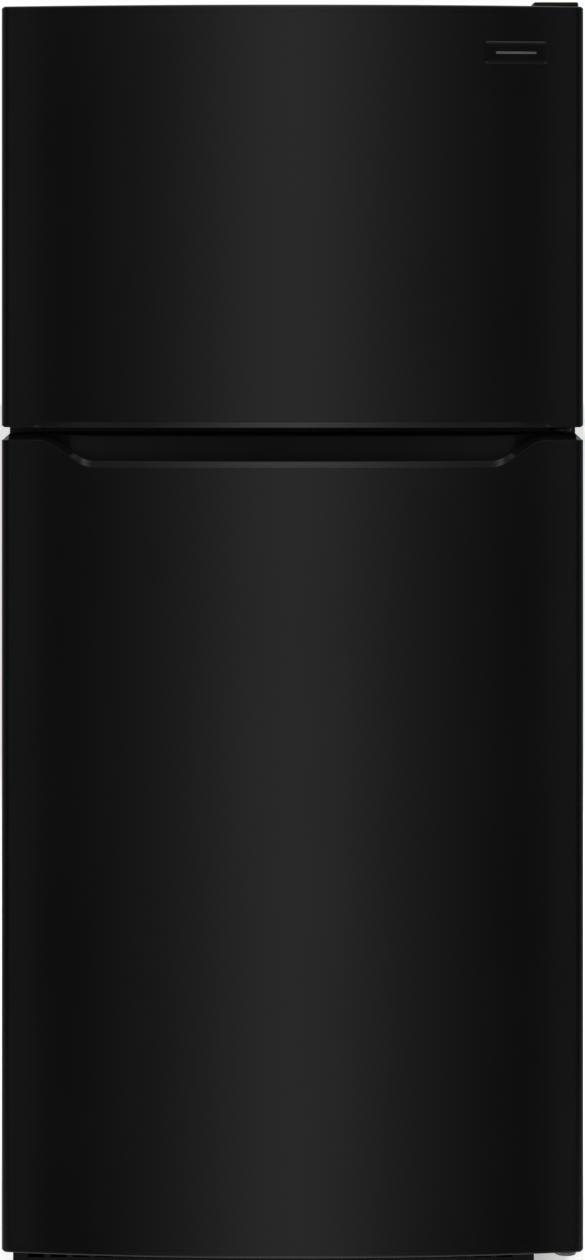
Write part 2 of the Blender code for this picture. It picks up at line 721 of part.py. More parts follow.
def pin(name, low, high):
    return cylinder(name, PIN_RADIUS, (HINGE_X, HINGE_Y, low), (HINGE_X, HINGE_Y, high))


def hinges():
    top = hinge_plate("top_hinge", (0.3440, 0.3720), -0.3440, -0.2350, (1.6715, 1.6745))
    foot = box("top_hinge_foot", (0.3300, -0.2900, CABINET_TOP + 0.0003), (0.3718, -0.2340, 1.6730))
    part(join(top, foot, pin("top_pin", 1.6610, 1.6735)), "zinc_steel")

    centre = hinge_plate("center_hinge", (0.3400, 0.3660), -0.3420, -0.2990, (1.1144, 1.1184))
    flange = box("center_flange", (0.3060, -0.3008, 1.1106), (0.3655, CABINET_FRONT - 0.0003, 1.1196))
    part(join(centre, flange, pin("center_pin", 1.0990, 1.1335)), "zinc_steel")

    bottom = hinge_plate("bottom_hinge", (0.3440, 0.3720), -0.3440, -0.2990, (0.0360, 0.0400))
    flange = box("bottom_flange", (0.3220, -0.3008, 0.0310), (0.3715, CABINET_FRONT - 0.0003, 0.0432))
    part(join(bottom, flange, pin("bottom_pin", 0.0370, 0.0520)), "zinc_steel")


def top_hinge_cover():
    """A thin hood over the top hinge, open below and round at its front."""
    z_top, wall = HEIGHT, 0.0015
    x_span, y_span = (0.3155, 0.3742), (-0.3500, -0.2240)
    hood = prism("top_hinge_cover", [rounded(x_span, y_span, 0.010, 4)], "Z", (CABINET_TOP + 0.0004, z_top))
    round_off(hood, 0.0025)
    inside_x, inside_y = (x_span[0] + wall, x_span[1] - wall), (y_span[0] + wall, y_span[1] - wall)
    hollow = prism("hood_hollow", [rounded(inside_x, inside_y, 0.0085, 4)], "Z", (CABINET_TOP - 0.01, z_top - wall))
    door_room = box("hood_door_room", (x_span[0] - 0.01, y_span[0] - 0.01, CABINET_TOP - 0.01),
                    (x_span[1] + 0.01, CABINET_FRONT - 0.0010, FREEZER_DOOR[1] + 0.0012))
    part(cut(hood, hollow, door_room), "trim_black")


# ---------------------------------------------------------------- inside the freezer

def freezer_shelf():
    """A moulded shelf with long slots."""
    x_span, y_span = (-0.3190, 0.3190), (-0.1800, 0.2250)
    slots = []
    columns, rows = 14, 2
    for column in range(columns):
        start = x_span[0] + 0.020 + column * 0.0430
        for row in range(rows):
            low = y_span[0] + 0.020 + row * 0.186
            slots.append(rectangle((start, start + 0.030), (low, low + 0.172)))
    shelf = prism("freezer_shelf", [rectangle(x_span, y_span)] + slots, "Z",
                  (FREEZER_SHELF_Z, FREEZER_SHELF_Z + 0.009))
    part(shelf, "liner_white")


FAN_CENTRE = Vector((0.0, 0.2680, 1.5150))


def evaporator_cover():
    """The freezer's rear wall, with air slots and the fan's motor boss behind it."""
    x_span, z_span = (-0.3215, 0.3215), (FREEZER_FLOOR + 0.0012, FREEZER_CEILING - 0.0012)
    slots = []
    for i in range(9):
        start = -0.2250 + i * 0.0520
        slots.append(rectangle((start, start + 0.034), (1.165, 1.172)))
        slots.append(rectangle((start, start + 0.034), (1.580, 1.587)))
    cover = prism("evaporator_cover", [rectangle(x_span, z_span)] + slots, "Y", (0.2400, 0.2430))
    x, y, z = FAN_CENTRE
    join(cover, cylinder("motor_boss", 0.020, (x, 0.2420, z), (x, y - 0.012, z)))
    join(cover, cylinder("motor_shaft", 0.0030, (x, 0.2500, z), (x, y + 0.010, z), 12))
    part(cover, "liner_white")


def serpentine(x_span, rows, layers, radius_steps=2):
    """Points of a tube that runs to and fro across X, row by row, then back through the next layer."""
    points = []
    direction = 1
    for depth, y in enumerate(layers):
        heights = rows if depth % 2 == 0 else list(reversed(rows))
        for z in heights:
            start, end = (x_span[0], x_span[1]) if direction > 0 else (x_span[1], x_span[0])
            turn = Vector((start, y, z))
            if points:
                before = Vector(points[-1])
                outward = -direction * (turn - before).length / 2
                for step in range(1, radius_steps + 1):
                    angle = math.pi * step / (radius_steps + 1)
                    share = (1 - math.cos(angle)) / 2
                    middle = before.lerp(turn, share)
                    points.append((middle.x + outward * math.sin(angle), middle.y, middle.z))
            points += [(start, y, z), (end, y, z)]
            direction = -direction
    return points


def evaporator_coil():
    rows = [1.175 + 0.038 * i for i in range(7)]
    coil = tube("evaporator_coil", serpentine((-0.25, 0.25), rows, [0.280]), 0.0045)
    part(coil, "coil_metal")


def fan(name, centre, axis, radius, blades, thickness, bore, finish):
    """A hub with a bore and pitched blades, turning about an axis through its centre."""
    hub = turned(name, [(bore, thickness / 2), (0.014, thickness / 2), (0.014, -thickness / 2),
                        (bore, -thickness / 2)], ring=True, steps=16)
    along(hub, axis, centre)
    frame = hub.matrix_world.copy()
    for i in range(blades):
        blade = box(name + "_blade", (0.010, -0.013, -0.0010), (radius, 0.013, 0.0010))
        spin = Matrix.Rotation(math.tau * i / blades, 4, "Z")
        pitch = Matrix.Rotation(math.radians(28), 4, "X")
        offset = Matrix.Translation(blade.location)
        blade.matrix_world = frame @ spin @ pitch @ offset
        join(hub, blade)
    return part(hub, finish)


# ---------------------------------------------------------------- inside the fresh food compartment

def shelves():
    for name, low in SHELF_HEIGHTS.items():
        rim = [rounded((-0.3190, 0.3190), (SHELF_FRONT, SHELF_BACK), 0.008, 2),
               rectangle((-0.2990, 0.2990), (SHELF_FRONT + 0.024, SHELF_BACK - 0.022))]
        frame = prism("shelf_frame_" + name, rim, "Z", (low, low + 0.0080))
        nose = wide_box("shelf_nose", 0.3100, (SHELF_FRONT + 0.0005, SHELF_FRONT + 0.0080), (low + 0.002, low + 0.0135))
        part(join(frame, nose), "liner_white")
        pane = wide_box("shelf_glass_" + name, 0.3120, (SHELF_FRONT + 0.0090, SHELF_BACK - 0.0050),
                        (low + 0.0084, low + 0.0124))
        part(pane, "shelf_glass")


def crisper_cover():
    low, high = CRISPER_COVER
    cover = wide_box("crisper_cover", 0.3190, (-0.1720, 0.1650), (low, high))
    part(round_off(cover, 0.003), "shelf_glass")


def crisper_drawer(name, x_span):
    y_span, z_span = (-0.1780, 0.1600), (0.1200, 0.3330)
    drawer = tray(name, x_span, y_span, z_span, 0.0028, 0.014)
    grip = box(name + "_grip", (x_span[0] + 0.012, y_span[0] - 0.0120, z_span[1] - 0.0170),
               (x_span[1] - 0.012, y_span[0] + 0.0015, z_span[1] - 0.0010))
    part(join(drawer, round_off(grip, 0.004)), "clear_plastic")


def control_housing():
    body = wide_box("control_housing", 0.1600, (0.0200, 0.3000), (1.0370, FRESH_CEILING - 0.0005))
    round_off(body, 0.005)
    join(body, cylinder("knob_shaft", 0.0030, (0.0, 0.0100, 1.0620), (0.0, 0.0300, 1.0620), 12))
    part(body, "liner_white")


def temperature_knob():
    """A dial with a raised grip, which turns about a line from front to back."""
    dial = turned("temperature_knob", [(0.0034, 0.0050), (0.0150, 0.0050), (0.0170, 0.0030),
                                       (0.0170, -0.0050), (0.0034, -0.0050)], ring=True)
    along(dial, (0, -1, 0), (0.0, 0.0142, 1.0620))
    grip = box("knob_grip", (-0.0035, 0.0010, 1.0480), (0.0035, 0.0100, 1.0760))
    part(join(dial, round_off(grip, 0.001)), "trim_black")


def light_switch():
    """A plunger that the door's rim holds in."""
    part(box("light_switch", (-0.2550, -0.2615, 1.0660), (-0.2450, -0.2280, 1.0780)), "trim_black")


# ---------------------------------------------------------------- the machine compartment

def compressor():
    """A welded steel pot on a flat foot."""
    profile = [(0.0, 0.1600), (0.030, 0.1580), (0.052, 0.1460), (0.0655, 0.1200), (0.0680, 0.0800),
               (0.0700, 0.0790), (0.0700, 0.0740), (0.0680, 0.0730), (0.0660, 0.0350), (0.0500, 0.0120),
               (0.0500, 0.0000), (0.0, 0.0000)]
    pot = turned("compressor", profile)
    pot.location = (0.2300, 0.2960, PAN_TOP + 0.0004)
    part(pot, "machine_black")


CONDENSER_FAN = Vector((-0.0240, 0.2900, 0.1350))


def condenser():
    rows = [0.0900 + 0.0340 * i for i in range(4)]
    coil = tube("condenser_coil", serpentine((-0.310, -0.085), rows, [0.262, 0.312]), 0.0042)
    part(coil, "coil_black")

    x, y, z = CONDENSER_FAN
    motor = cylinder("condenser_fan_motor", 0.026, (x + 0.022, y, z), (x + 0.062, y, z))
    stand = box("motor_stand", (x + 0.030, y - 0.012, PAN_TOP + 0.0004), (x + 0.052, y + 0.012, z - 0.01))
    shaft = cylinder("motor_shaft", 0.0030, (x - 0.009, y, z), (x + 0.030, y, z), 12)
    part(join(motor, stand, shaft), "machine_black")

    part(tray("drip_pan", (-0.3450, -0.0550), (0.2280, 0.3650), (PAN_TOP + 0.0004, 0.0740), 0.0016, 0.010),
         "machine_black")


GLAND = (0.3100, 0.2300)


def machine_cover():
    """The rear cover, with air slots and a hole for the cord's gland."""
    x_span, z_span = (-0.3700, 0.3700), (0.0400, 0.2850)
    holes = []
    for i in range(13):
        start = -0.3300 + i * 0.0450
        for low in (0.080, 0.150):
            holes.append(rectangle((start, start + 0.012), (low, low + 0.050)))
    ring = [(GLAND[0] + 0.0085 * math.cos(math.tau * i / 20), GLAND[1] + 0.0085 * math.sin(math.tau * i / 20))
            for i in range(20)]
    cover = prism("machine_cover", [rectangle(x_span, z_span)] + holes + [ring], "Y", (CABINET_REAR + 0.0005, REAR))
    part(cover, "cabinet_black")


def cord_gland():
    """A flanged bush in the rear cover, empty: the cord itself isn't part of the model."""
    profile = [(0.0045, 0.0), (0.0078, 0.0), (0.0078, -0.0014), (0.0112, -0.0014), (0.0112, -0.0050),
               (0.0045, -0.0050)]
    gland = turned("cord_gland", profile, ring=True, steps=20)
    along(gland, (0, 1, 0), (GLAND[0], REAR, GLAND[1]))
    part(gland, "dark_rubber")


# ---------------------------------------------------------------- feet and rollers

def leveling_leg(name, x):
    """A threaded foot that screws up and down in the front rail."""
    profile = [(0.0, 0.0640), (0.0050, 0.0640), (0.0050, 0.0120), (0.0090, 0.0120), (0.0090, 0.0080),
               (0.0160, 0.0060), (0.0170, 0.0000), (0.0, 0.0000)]
    leg = turned(name, profile, steps=20)
    leg.location = (x, -0.2400, 0.0)
    part(leg, "zinc_steel")


def rear_roller(name, side):
    profile = [(0.0045, 0.0100), (0.0190, 0.0100), (0.0200, 0.0090), (0.0200, -0.0090), (0.0190, -0.0100),
               (0.0045, -0.0100)]
    roller = turned(name, profile, ring=True, steps=28)
    along(roller, (1, 0, 0), (side * 0.3140, 0.3000, 0.0200))
    part(roller, "dark_rubber")


def build():
    cabinet_panels()
    front_rail()
    base_pan()
    cabinet_foam()
    liners()
    mullion_rail()
    toe_grille()
    hinges()
    top_hinge_cover()
    freezer_door()
    fridge_door()
    freezer_shelf()
    evaporator_cover()
    evaporator_coil()
    fan("evaporator_fan", FAN_CENTRE, (0, 1, 0), 0.052, 4, 0.016, 0.0034, "fan_grey")
    shelves()
    crisper_cover()
    crisper_drawer("crisper_drawer_left", (-0.3160, -0.0050))
    crisper_drawer("crisper_drawer_right", (0.0050, 0.3160))
    control_housing()
    temperature_knob()
    light_switch()
    compressor()
    condenser()
    fan("condenser_fan", CONDENSER_FAN, (1, 0, 0), 0.054, 5, 0.016, 0.0034, "fan_grey")
    machine_cover()
    cord_gland()
    leveling_leg("leveling_leg_left", -0.3000)
    leveling_leg("leveling_leg_right", 0.3000)
    rear_roller("rear_roller_left", -1)
    rear_roller("rear_roller_right", 1)


build()
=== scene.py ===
"""The look of a black top freezer refrigerator: finer pieces, materials, light and camera.

Metres, +Z up, front towards -Y, hinges on +X. Every shown piece rides on one body of the frame.
"""

import math

import bmesh
import bpy
from mathutils import Matrix, Vector


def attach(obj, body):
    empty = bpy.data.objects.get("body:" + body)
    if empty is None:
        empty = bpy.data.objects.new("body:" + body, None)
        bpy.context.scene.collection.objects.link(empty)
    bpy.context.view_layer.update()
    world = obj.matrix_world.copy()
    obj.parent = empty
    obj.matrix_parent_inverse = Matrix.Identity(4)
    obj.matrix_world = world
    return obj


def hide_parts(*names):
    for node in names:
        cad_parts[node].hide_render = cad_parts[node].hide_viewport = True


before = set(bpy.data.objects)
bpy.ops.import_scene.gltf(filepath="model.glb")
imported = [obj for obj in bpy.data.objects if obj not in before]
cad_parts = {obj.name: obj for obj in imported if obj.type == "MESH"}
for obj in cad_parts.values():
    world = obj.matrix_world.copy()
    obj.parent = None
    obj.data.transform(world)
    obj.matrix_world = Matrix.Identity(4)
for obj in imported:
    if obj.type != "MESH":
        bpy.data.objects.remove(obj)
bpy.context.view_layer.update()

# Plan of the doors
HALF_DOOR = 0.380
FRONT = -0.3825
BOW_RADIUS = 2.620
CORNER_RADIUS = 0.012
DOOR_BACK = -0.3118
FREEZER_DOOR = (1.1203, 1.6695)
FRIDGE_DOOR = (0.0440, 1.1125)
END_CAP = 0.0095

# The painted sheet, and how far a moulded cap reaches under it
SHEET = 0.0008
LAP = SHEET + 0.0004

# The finger pocket is full inside the inner x and gone outside the outer x, and so is the freezer door's lip
SCOOP_OUTER, SCOOP_INNER = 0.331, 0.258
LIP_OUTER, LIP_INNER = 0.338, 0.3255
POCKET_BACK = -0.3425

# Planes of the cabinet, and the inner face of its two liners' side walls
CABINET_FRONT = -0.2975
CABINET_BACK = 0.3800
CABINET_HALF = 0.3740
LINER_HALF = 0.3235
BOLT_PLANE = -0.3008


# ---------------------------------------------------------------- node materials

MATERIALS = {}
EVEN = (1, 1, 1)


def node(tree, kind, inputs=(), **settings):
    made = tree.nodes.new(kind)
    for name, value in settings.items():
        setattr(made, name, value)
    for socket, value in dict(inputs).items():
        made.inputs[socket].default_value = value
    return made


def noise_at(tree, scale, detail=3.0, stretch=(1, 1, 1), offset=0.0):
    """A noise texture in the piece's own metres, finer along the axes with a larger stretch."""
    where = node(tree, "ShaderNodeTexCoord")
    place = node(tree, "ShaderNodeMapping")
    place.inputs["Scale"].default_value = [scale * s for s in stretch]
    place.inputs["Location"].default_value = (offset, offset * 0.7, offset * 0.3)
    noise = node(tree, "ShaderNodeTexNoise", {"Scale": 1.0, "Detail": detail, "Roughness": 0.55})
    tree.links.new(where.outputs["Object"], place.inputs["Vector"])
    tree.links.new(place.outputs["Vector"], noise.inputs["Vector"])
    return noise.outputs["Fac"]


def smooth_range(tree, value, given, wanted=(0.0, 1.0)):
    """Maps a value's given range to the wanted one, easing in and out."""
    limits = {"From Min": given[0], "From Max": given[1], "To Min": wanted[0], "To Max": wanted[1]}
    ranged = node(tree, "ShaderNodeMapRange", limits, interpolation_type="SMOOTHSTEP")
    tree.links.new(value, ranged.inputs["Value"])
    return ranged.outputs["Result"]


def spread(tree, noise, low, high):
    """Maps a noise's middle range to low..high."""
    return smooth_range(tree, noise, (0.22, 0.78), (low, high))


def finish_material(name, color, vary, rough, grain, patch=7.0, **sockets):
    """A principled shader with drifting tone, uneven gloss and a fine raised grain.

    color is the mean, vary the share it drifts by, rough the range of roughness, and grain a list of
    (scale, strength, distance, stretch) for bumps laid one over another. MATERIALS keeps it by its name.
    """
    made = bpy.data.materials.new(name)
    made.use_nodes = True
    tree = made.node_tree
    shader = tree.nodes["Principled BSDF"]
    for socket, value in sockets.items():
        shader.inputs[socket.replace("_", " ")].default_value = value
    tone = node(tree, "ShaderNodeMix", data_type="RGBA")
    dark = [c * (1 - vary) for c in color]
    light = [min(1.0, c * (1 + vary)) for c in color]
    tone.inputs["A"].default_value = (*dark, 1)
    tone.inputs["B"].default_value = (*light, 1)
    tree.links.new(spread(tree, noise_at(tree, patch), 0.0, 1.0), tone.inputs["Factor"])
    tree.links.new(tone.outputs["Result"], shader.inputs["Base Color"])
    gloss = spread(tree, noise_at(tree, patch * 2.3, 4.0, offset=3.1), rough[0], rough[1])
    tree.links.new(gloss, shader.inputs["Roughness"])
    normal = None
    for scale, strength, distance, stretch in grain:
        bump = node(tree, "ShaderNodeBump", {"Strength": strength, "Distance": distance})
        tree.links.new(noise_at(tree, scale, 2.0, stretch, offset=1.7), bump.inputs["Height"])
        if normal:
            tree.links.new(normal, bump.inputs["Normal"])
        normal = bump.outputs["Normal"]
    tree.links.new(normal, shader.inputs["Normal"])
    MATERIALS[name] = made
    return made


def see_through(name, color, facing, edge, rough, grain):
    """Clear moulded plastic or glass: open face on and milkier towards its edges."""
    made = finish_material(name, color, 0.04, rough, grain, IOR=1.49)
    tree = made.node_tree
    shader = tree.nodes["Principled BSDF"]
    weight = node(tree, "ShaderNodeLayerWeight", {"Blend": 0.35})
    ranged = node(tree, "ShaderNodeMapRange", {"To Min": facing, "To Max": edge})
    tree.links.new(weight.outputs["Facing"], ranged.inputs["Value"])
    tree.links.new(ranged.outputs["Result"], shader.inputs["Alpha"])


def spangled_steel(name, color, rough, cell):
    """Zinc plated steel with its faint crystal patches."""
    made = finish_material(name, color, 0.07, rough, [(900.0, 0.05, 0.0004, EVEN)], 18.0, Metallic=1.0)
    tree = made.node_tree
    shader = tree.nodes["Principled BSDF"]
    cells = node(tree, "ShaderNodeTexVoronoi", {"Scale": cell})
    where = node(tree, "ShaderNodeTexCoord")
    mixed = node(tree, "ShaderNodeMix", data_type="RGBA", blend_type="MULTIPLY")
    mixed.inputs["Factor"].default_value = 0.16
    tree.links.new(where.outputs["Object"], cells.inputs["Vector"])
    tree.links.new(shader.inputs["Base Color"].links[0].from_socket, mixed.inputs["A"])
    tree.links.new(cells.outputs["Color"], mixed.inputs["B"])
    tree.links.new(mixed.outputs["Result"], shader.inputs["Base Color"])


finish_material(
    "door_black", (0.0026, 0.0026, 0.0028), 0.10, (0.100, 0.125),
    [(260.0, 0.030, 0.0006, (1, 1, 0.25)), (1500.0, 0.020, 0.0002, EVEN)], 3.0)
finish_material(
    "trim_black", (0.0034, 0.0034, 0.0036), 0.12, (0.46, 0.54), [(1400.0, 0.10, 0.0003, EVEN)], 9.0,
    Specular_IOR_Level=0.35)
finish_material(
    "lip_black", (0.0030, 0.0030, 0.0032), 0.10, (0.15, 0.18), [(1500.0, 0.03, 0.0002, EVEN)], 9.0)
finish_material(
    "cabinet_black", (0.0095, 0.0095, 0.0100), 0.10, (0.36, 0.42),
    [(420.0, 0.22, 0.0009, EVEN), (1300.0, 0.08, 0.0003, EVEN)], 4.0)
finish_material(
    "badge_black", (0.0022, 0.0022, 0.0024), 0.10, (0.10, 0.14), [(900.0, 0.02, 0.0002, EVEN)], 30.0)
finish_material(
    "liner_white", (0.80, 0.81, 0.805), 0.012, (0.28, 0.32),
    [(160.0, 0.012, 0.0006, EVEN), (1200.0, 0.02, 0.0002, EVEN)], 5.0)
finish_material(
    "gasket_black", (0.016, 0.016, 0.017), 0.15, (0.52, 0.62), [(1100.0, 0.12, 0.0004, EVEN)], 14.0)
see_through(
    "clear_plastic", (0.80, 0.87, 0.90), 0.16, 0.62, (0.06, 0.11), [(220.0, 0.03, 0.0006, EVEN)])
see_through(
    "shelf_glass", (0.62, 0.80, 0.74), 0.12, 0.55, (0.02, 0.05), [(90.0, 0.015, 0.0006, EVEN)])
spangled_steel("zinc_steel", (0.56, 0.57, 0.58), (0.30, 0.40), 320.0)
finish_material(
    "foam", (0.72, 0.60, 0.36), 0.12, (0.85, 0.95), [(380.0, 0.5, 0.0016, EVEN)], 22.0)
finish_material(
    "coil_metal", (0.66, 0.67, 0.68), 0.06, (0.28, 0.38), [(700.0, 0.10, 0.0004, (1, 1, 4))], 20.0,
    Metallic=1.0)
finish_material(
    "coil_black", (0.014, 0.014, 0.014), 0.20, (0.34, 0.46), [(800.0, 0.12, 0.0004, EVEN)], 16.0)
finish_material(
    "machine_black", (0.011, 0.011, 0.012), 0.22, (0.26, 0.36), [(500.0, 0.08, 0.0006, EVEN)], 13.0)
finish_material(
    "fan_grey", (0.16, 0.165, 0.17), 0.08, (0.38, 0.48), [(900.0, 0.08, 0.0003, EVEN)], 25.0)
finish_material(
    "dark_rubber", (0.014, 0.014, 0.014), 0.18, (0.66, 0.78), [(900.0, 0.20, 0.0005, EVEN)], 20.0)
finish_material(
    "end_black", (0.0026, 0.0026, 0.0028), 0.10, (0.11, 0.14), [(1400.0, 0.03, 0.0002, EVEN)], 6.0)
finish_material(
    "satin_bar", (0.55, 0.55, 0.55), 0.05, (0.30, 0.36), [(900.0, 0.06, 0.0003, (8, 1, 1))], 40.0,
    Metallic=1.0)
finish_material(
    "lamp_lens", (0.86, 0.87, 0.85), 0.02, (0.18, 0.24), [(240.0, 0.10, 0.0008, (6, 1, 1))], 15.0,
    Alpha=0.8)


# ---------------------------------------------------------------- building pieces

def shown(obj, body, slot, replaced=(), material=None, angle=35.0):
    """Gives a piece its material and smooth shading, and rides it on its body."""
    obj.data.materials.clear()
    obj.data.materials.append(MATERIALS[material or slot])
    obj.data.shade_smooth()
    obj.data.set_sharp_from_angle(angle=math.radians(angle))
    even = obj.modifiers.new("even_normals", "WEIGHTED_NORMAL")
    even.keep_sharp = True
    even.weight = 80
    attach(obj, body)
    if replaced:
        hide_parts(*replaced)
    return obj


def from_shape(name, shape):
    bmesh.ops.recalc_face_normals(shape, faces=shape.faces)
    mesh = bpy.data.meshes.new(name)
    shape.to_mesh(mesh)
    shape.free()
    obj = bpy.data.objects.new(name, mesh)
    bpy.context.scene.collection.objects.link(obj)
    return obj


def loft(name, rings, caps=(True, True), loop=False):
    """A skin through rings of equal length. A loop joins the last ring to the first."""
    shape = bmesh.new()
    rows = [[shape.verts.new(point) for point in ring] for ring in rings]
    count = len(rows[0])
    pairs = list(zip(rows, rows[1:]))
    if loop:
        pairs.append((rows[-1], rows[0]))
    for row, following in pairs:
        for i in range(count):
            j = (i + 1) % count
            shape.faces.new((row[i], row[j], following[j], following[i]))
    if caps[0] and not loop:
        shape.faces.new(rows[0])
    if caps[1] and not loop:
        shape.faces.new(rows[-1])
    return from_shape(name, shape)


def rounded(u_span, v_span, radius, segments=7):
    """The corners of a rectangle with round corners, anticlockwise."""
    points = []
    for side_u, side_v, start in ((1, 1, 0), (0, 1, 90), (0, 0, 180), (1, 0, 270)):
        centre_u = u_span[side_u] + (radius if side_u == 0 else -radius)
        centre_v = v_span[side_v] + (radius if side_v == 0 else -radius)
        for step in range(segments + 1):
            angle = math.radians(start + 90 * step / segments)
            points.append((centre_u + radius * math.cos(angle), centre_v + radius * math.sin(angle)))
    return points


def on_y(points, y):
    return [(u, y, v) for u, v in points]


def on_z(points, z):
    return [(u, v, z) for u, v in points]


def shrink(span, by):
    return span[0] + by, span[1] - by


def quarter(radius, steps):
    """(in, up) along a quarter round, from (0, radius) to (radius, 0)."""
    turns = [math.pi / 2 * step / steps for step in range(steps + 1)]
    return [(radius * (1 - math.cos(turn)), radius * (1 - math.sin(turn))) for turn in turns]


def refined(name, body, slot, cad, width, segments=2, angle=35.0):
    """A CAD node's shape, welded and with its edges softened by width."""
    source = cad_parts[cad].data
    shape = bmesh.new()
    shape.from_mesh(source)
    bmesh.ops.remove_doubles(shape, verts=shape.verts, dist=0.00001)
    bmesh.ops.dissolve_limit(shape, angle_limit=math.radians(0.5), verts=shape.verts, edges=shape.edges)
    obj = from_shape(name, shape)
    if width:
        bevel = obj.modifiers.new("soft_edges", "BEVEL")
        bevel.width = width
        bevel.segments = segments
        bevel.limit_method = "ANGLE"
        bevel.angle_limit = math.radians(40)
        bevel.harden_normals = False
    return shown(obj, body, slot, (cad,), angle=angle)


def mix(first, last, share):
    return first + (last - first) * share


def smooth_step(start, end, value):
    share = min(max((value - start) / (end - start), 0.0), 1.0)
    return share * share * (3 - 2 * share)


# ---------------------------------------------------------------- the doors' outside

def bow(x, inset=0.0):
    radius = BOW_RADIUS - inset
    return FRONT + BOW_RADIUS - math.sqrt(radius * radius - x * x)


CENTRE_X = HALF_DOOR - CORNER_RADIUS
CENTRE_Y = FRONT + BOW_RADIUS - math.sqrt((BOW_RADIUS - CORNER_RADIUS) ** 2 - CENTRE_X ** 2)
LAST_TURN = math.asin(CENTRE_X / (BOW_RADIUS - CORNER_RADIUS))
CORNER_STEPS, SCOOP_STEPS, MIDDLE_STEPS = 12, 34, 14


def half_front():
    """(x, y, outward x, outward y) from the hinge side's corner to just short of the middle."""
    line = []
    for step in range(CORNER_STEPS + 1):
        turn = (math.pi / 2 - LAST_TURN) * step / CORNER_STEPS
        out_x, out_y = math.cos(turn), -math.sin(turn)
        line.append((CENTRE_X + CORNER_RADIUS * out_x, CENTRE_Y + CORNER_RADIUS * out_y, out_x, out_y))
    places = [0.3605, 0.3530, 0.3470, 0.3420]
    places += [mix(LIP_OUTER, SCOOP_INNER, step / SCOOP_STEPS) for step in range(SCOOP_STEPS + 1)]
    places += [SCOOP_INNER * (1 - step / MIDDLE_STEPS) for step in range(1, MIDDLE_STEPS)]
    for x in places:
        angle = math.asin(x / BOW_RADIUS)
        line.append((x, bow(x), math.sin(angle), -math.cos(angle)))
    return line


def hem():
    """(x, y, outward x, outward y) of the skin's return flange, from its edge round to the door's side."""
    radius, back = 0.0012, DOOR_BACK + 0.0011
    line = [(0.3726, back, 0.0, 1.0), (0.3760, back, 0.0, 1.0)]
    steps = 5
    for step in range(steps + 1):
        turn = math.pi / 2 * (1 - step / steps)
        out_x, out_y = math.cos(turn), math.sin(turn)
        line.append((HALF_DOOR - radius + radius * out_x, back - radius + radius * out_y, out_x, out_y))
    return line + [(HALF_DOOR, DOOR_BACK - 0.02, 1.0, 0.0)]


def mirrored(line):
    return [(-x, y, -out_x, out_y) for x, y, out_x, out_y in reversed(line)]


HALF_LINE = half_front()
FRONT_LINE = HALF_LINE + [(0.0, FRONT, 0.0, -1.0)] + mirrored(HALF_LINE)
WRAP_LINE = hem() + FRONT_LINE + mirrored(hem())


def scoop(x):
    """How much of the finger pocket there is at x, from 0 to 1."""
    return smooth_step(SCOOP_OUTER, SCOOP_INNER, abs(x))


def lip_span(x):
    """How much of the freezer door's lip there is at x, from 0 to 1."""
    return smooth_step(LIP_OUTER, LIP_INNER, abs(x))


def side_fall(x, width, height):
    """How far an end cap slopes into the door near its sides."""
    return max(0.0, abs(x) - (HALF_DOOR - width)) * height / width


def fridge_edge(x):
    """Where the fridge door's sheet ends, measured into the door from its top."""
    return 0.0096 + scoop(x) * 0.0353


def freezer_edge(x):
    """Where the freezer door's sheet ends, measured into the door from its bottom."""
    return 0.0022 + lip_span(x) * 0.0070


def door_skin(name, body, low, high):
    """Painted sheet wrapped round the door, with its cut edges rounded over. low and high give z at x."""
    cut = 0.0003
    roll = quarter(cut, 2)
    lowest = max(low(x) for x, _, _, _ in FRONT_LINE) + 0.004
    highest = min(high(x) for x, _, _, _ in FRONT_LINE) - 0.004
    levels = [lowest + (highest - lowest) * i / 12 for i in range(13)]
    sections = []
    for x, y, out_x, out_y in WRAP_LINE:
        bottom, top = low(x), high(x)
        profile = [(SHEET, bottom), (cut, bottom)]
        profile += [(depth, bottom + up) for depth, up in reversed(roll)][1:]
        profile += [(0.0, bottom + 0.0008), (0.0, bottom + 0.0025)] + [(0.0, z) for z in levels]
        profile += [(0.0, top - 0.0025), (0.0, top - 0.0008)]
        profile += [(depth, top - up) for depth, up in roll]
        profile += [(SHEET, top)]
        sections.append([(x - out_x * depth, y - out_y * depth, z) for depth, z in profile])
    return shown(loft(name + "_finish", sections), body, "door_black", (name,))


def bend(before, corner, after, reach, steps=4):
    """Points round a corner between two straight runs, starting reach before it."""
    before, corner, after = Vector(before), Vector(corner), Vector(after)
    start = corner + (before - corner).normalized() * min(reach, (before - corner).length * 0.45)
    end = corner + (after - corner).normalized() * min(reach, (after - corner).length * 0.45)
    points = []
    for step in range(steps + 1):
        share = step / steps
        place = start * (1 - share) ** 2 + corner * 2 * share * (1 - share) + end * share ** 2
        points.append(tuple(place))
    return points


# Rounds inside the pocket and behind the lip, the broken edge at the back, and the least height of a face
POCKET_ROUND, LIP_ROUND, BREAK, THINNEST = 0.0040, 0.0030, 0.0006, 0.00005


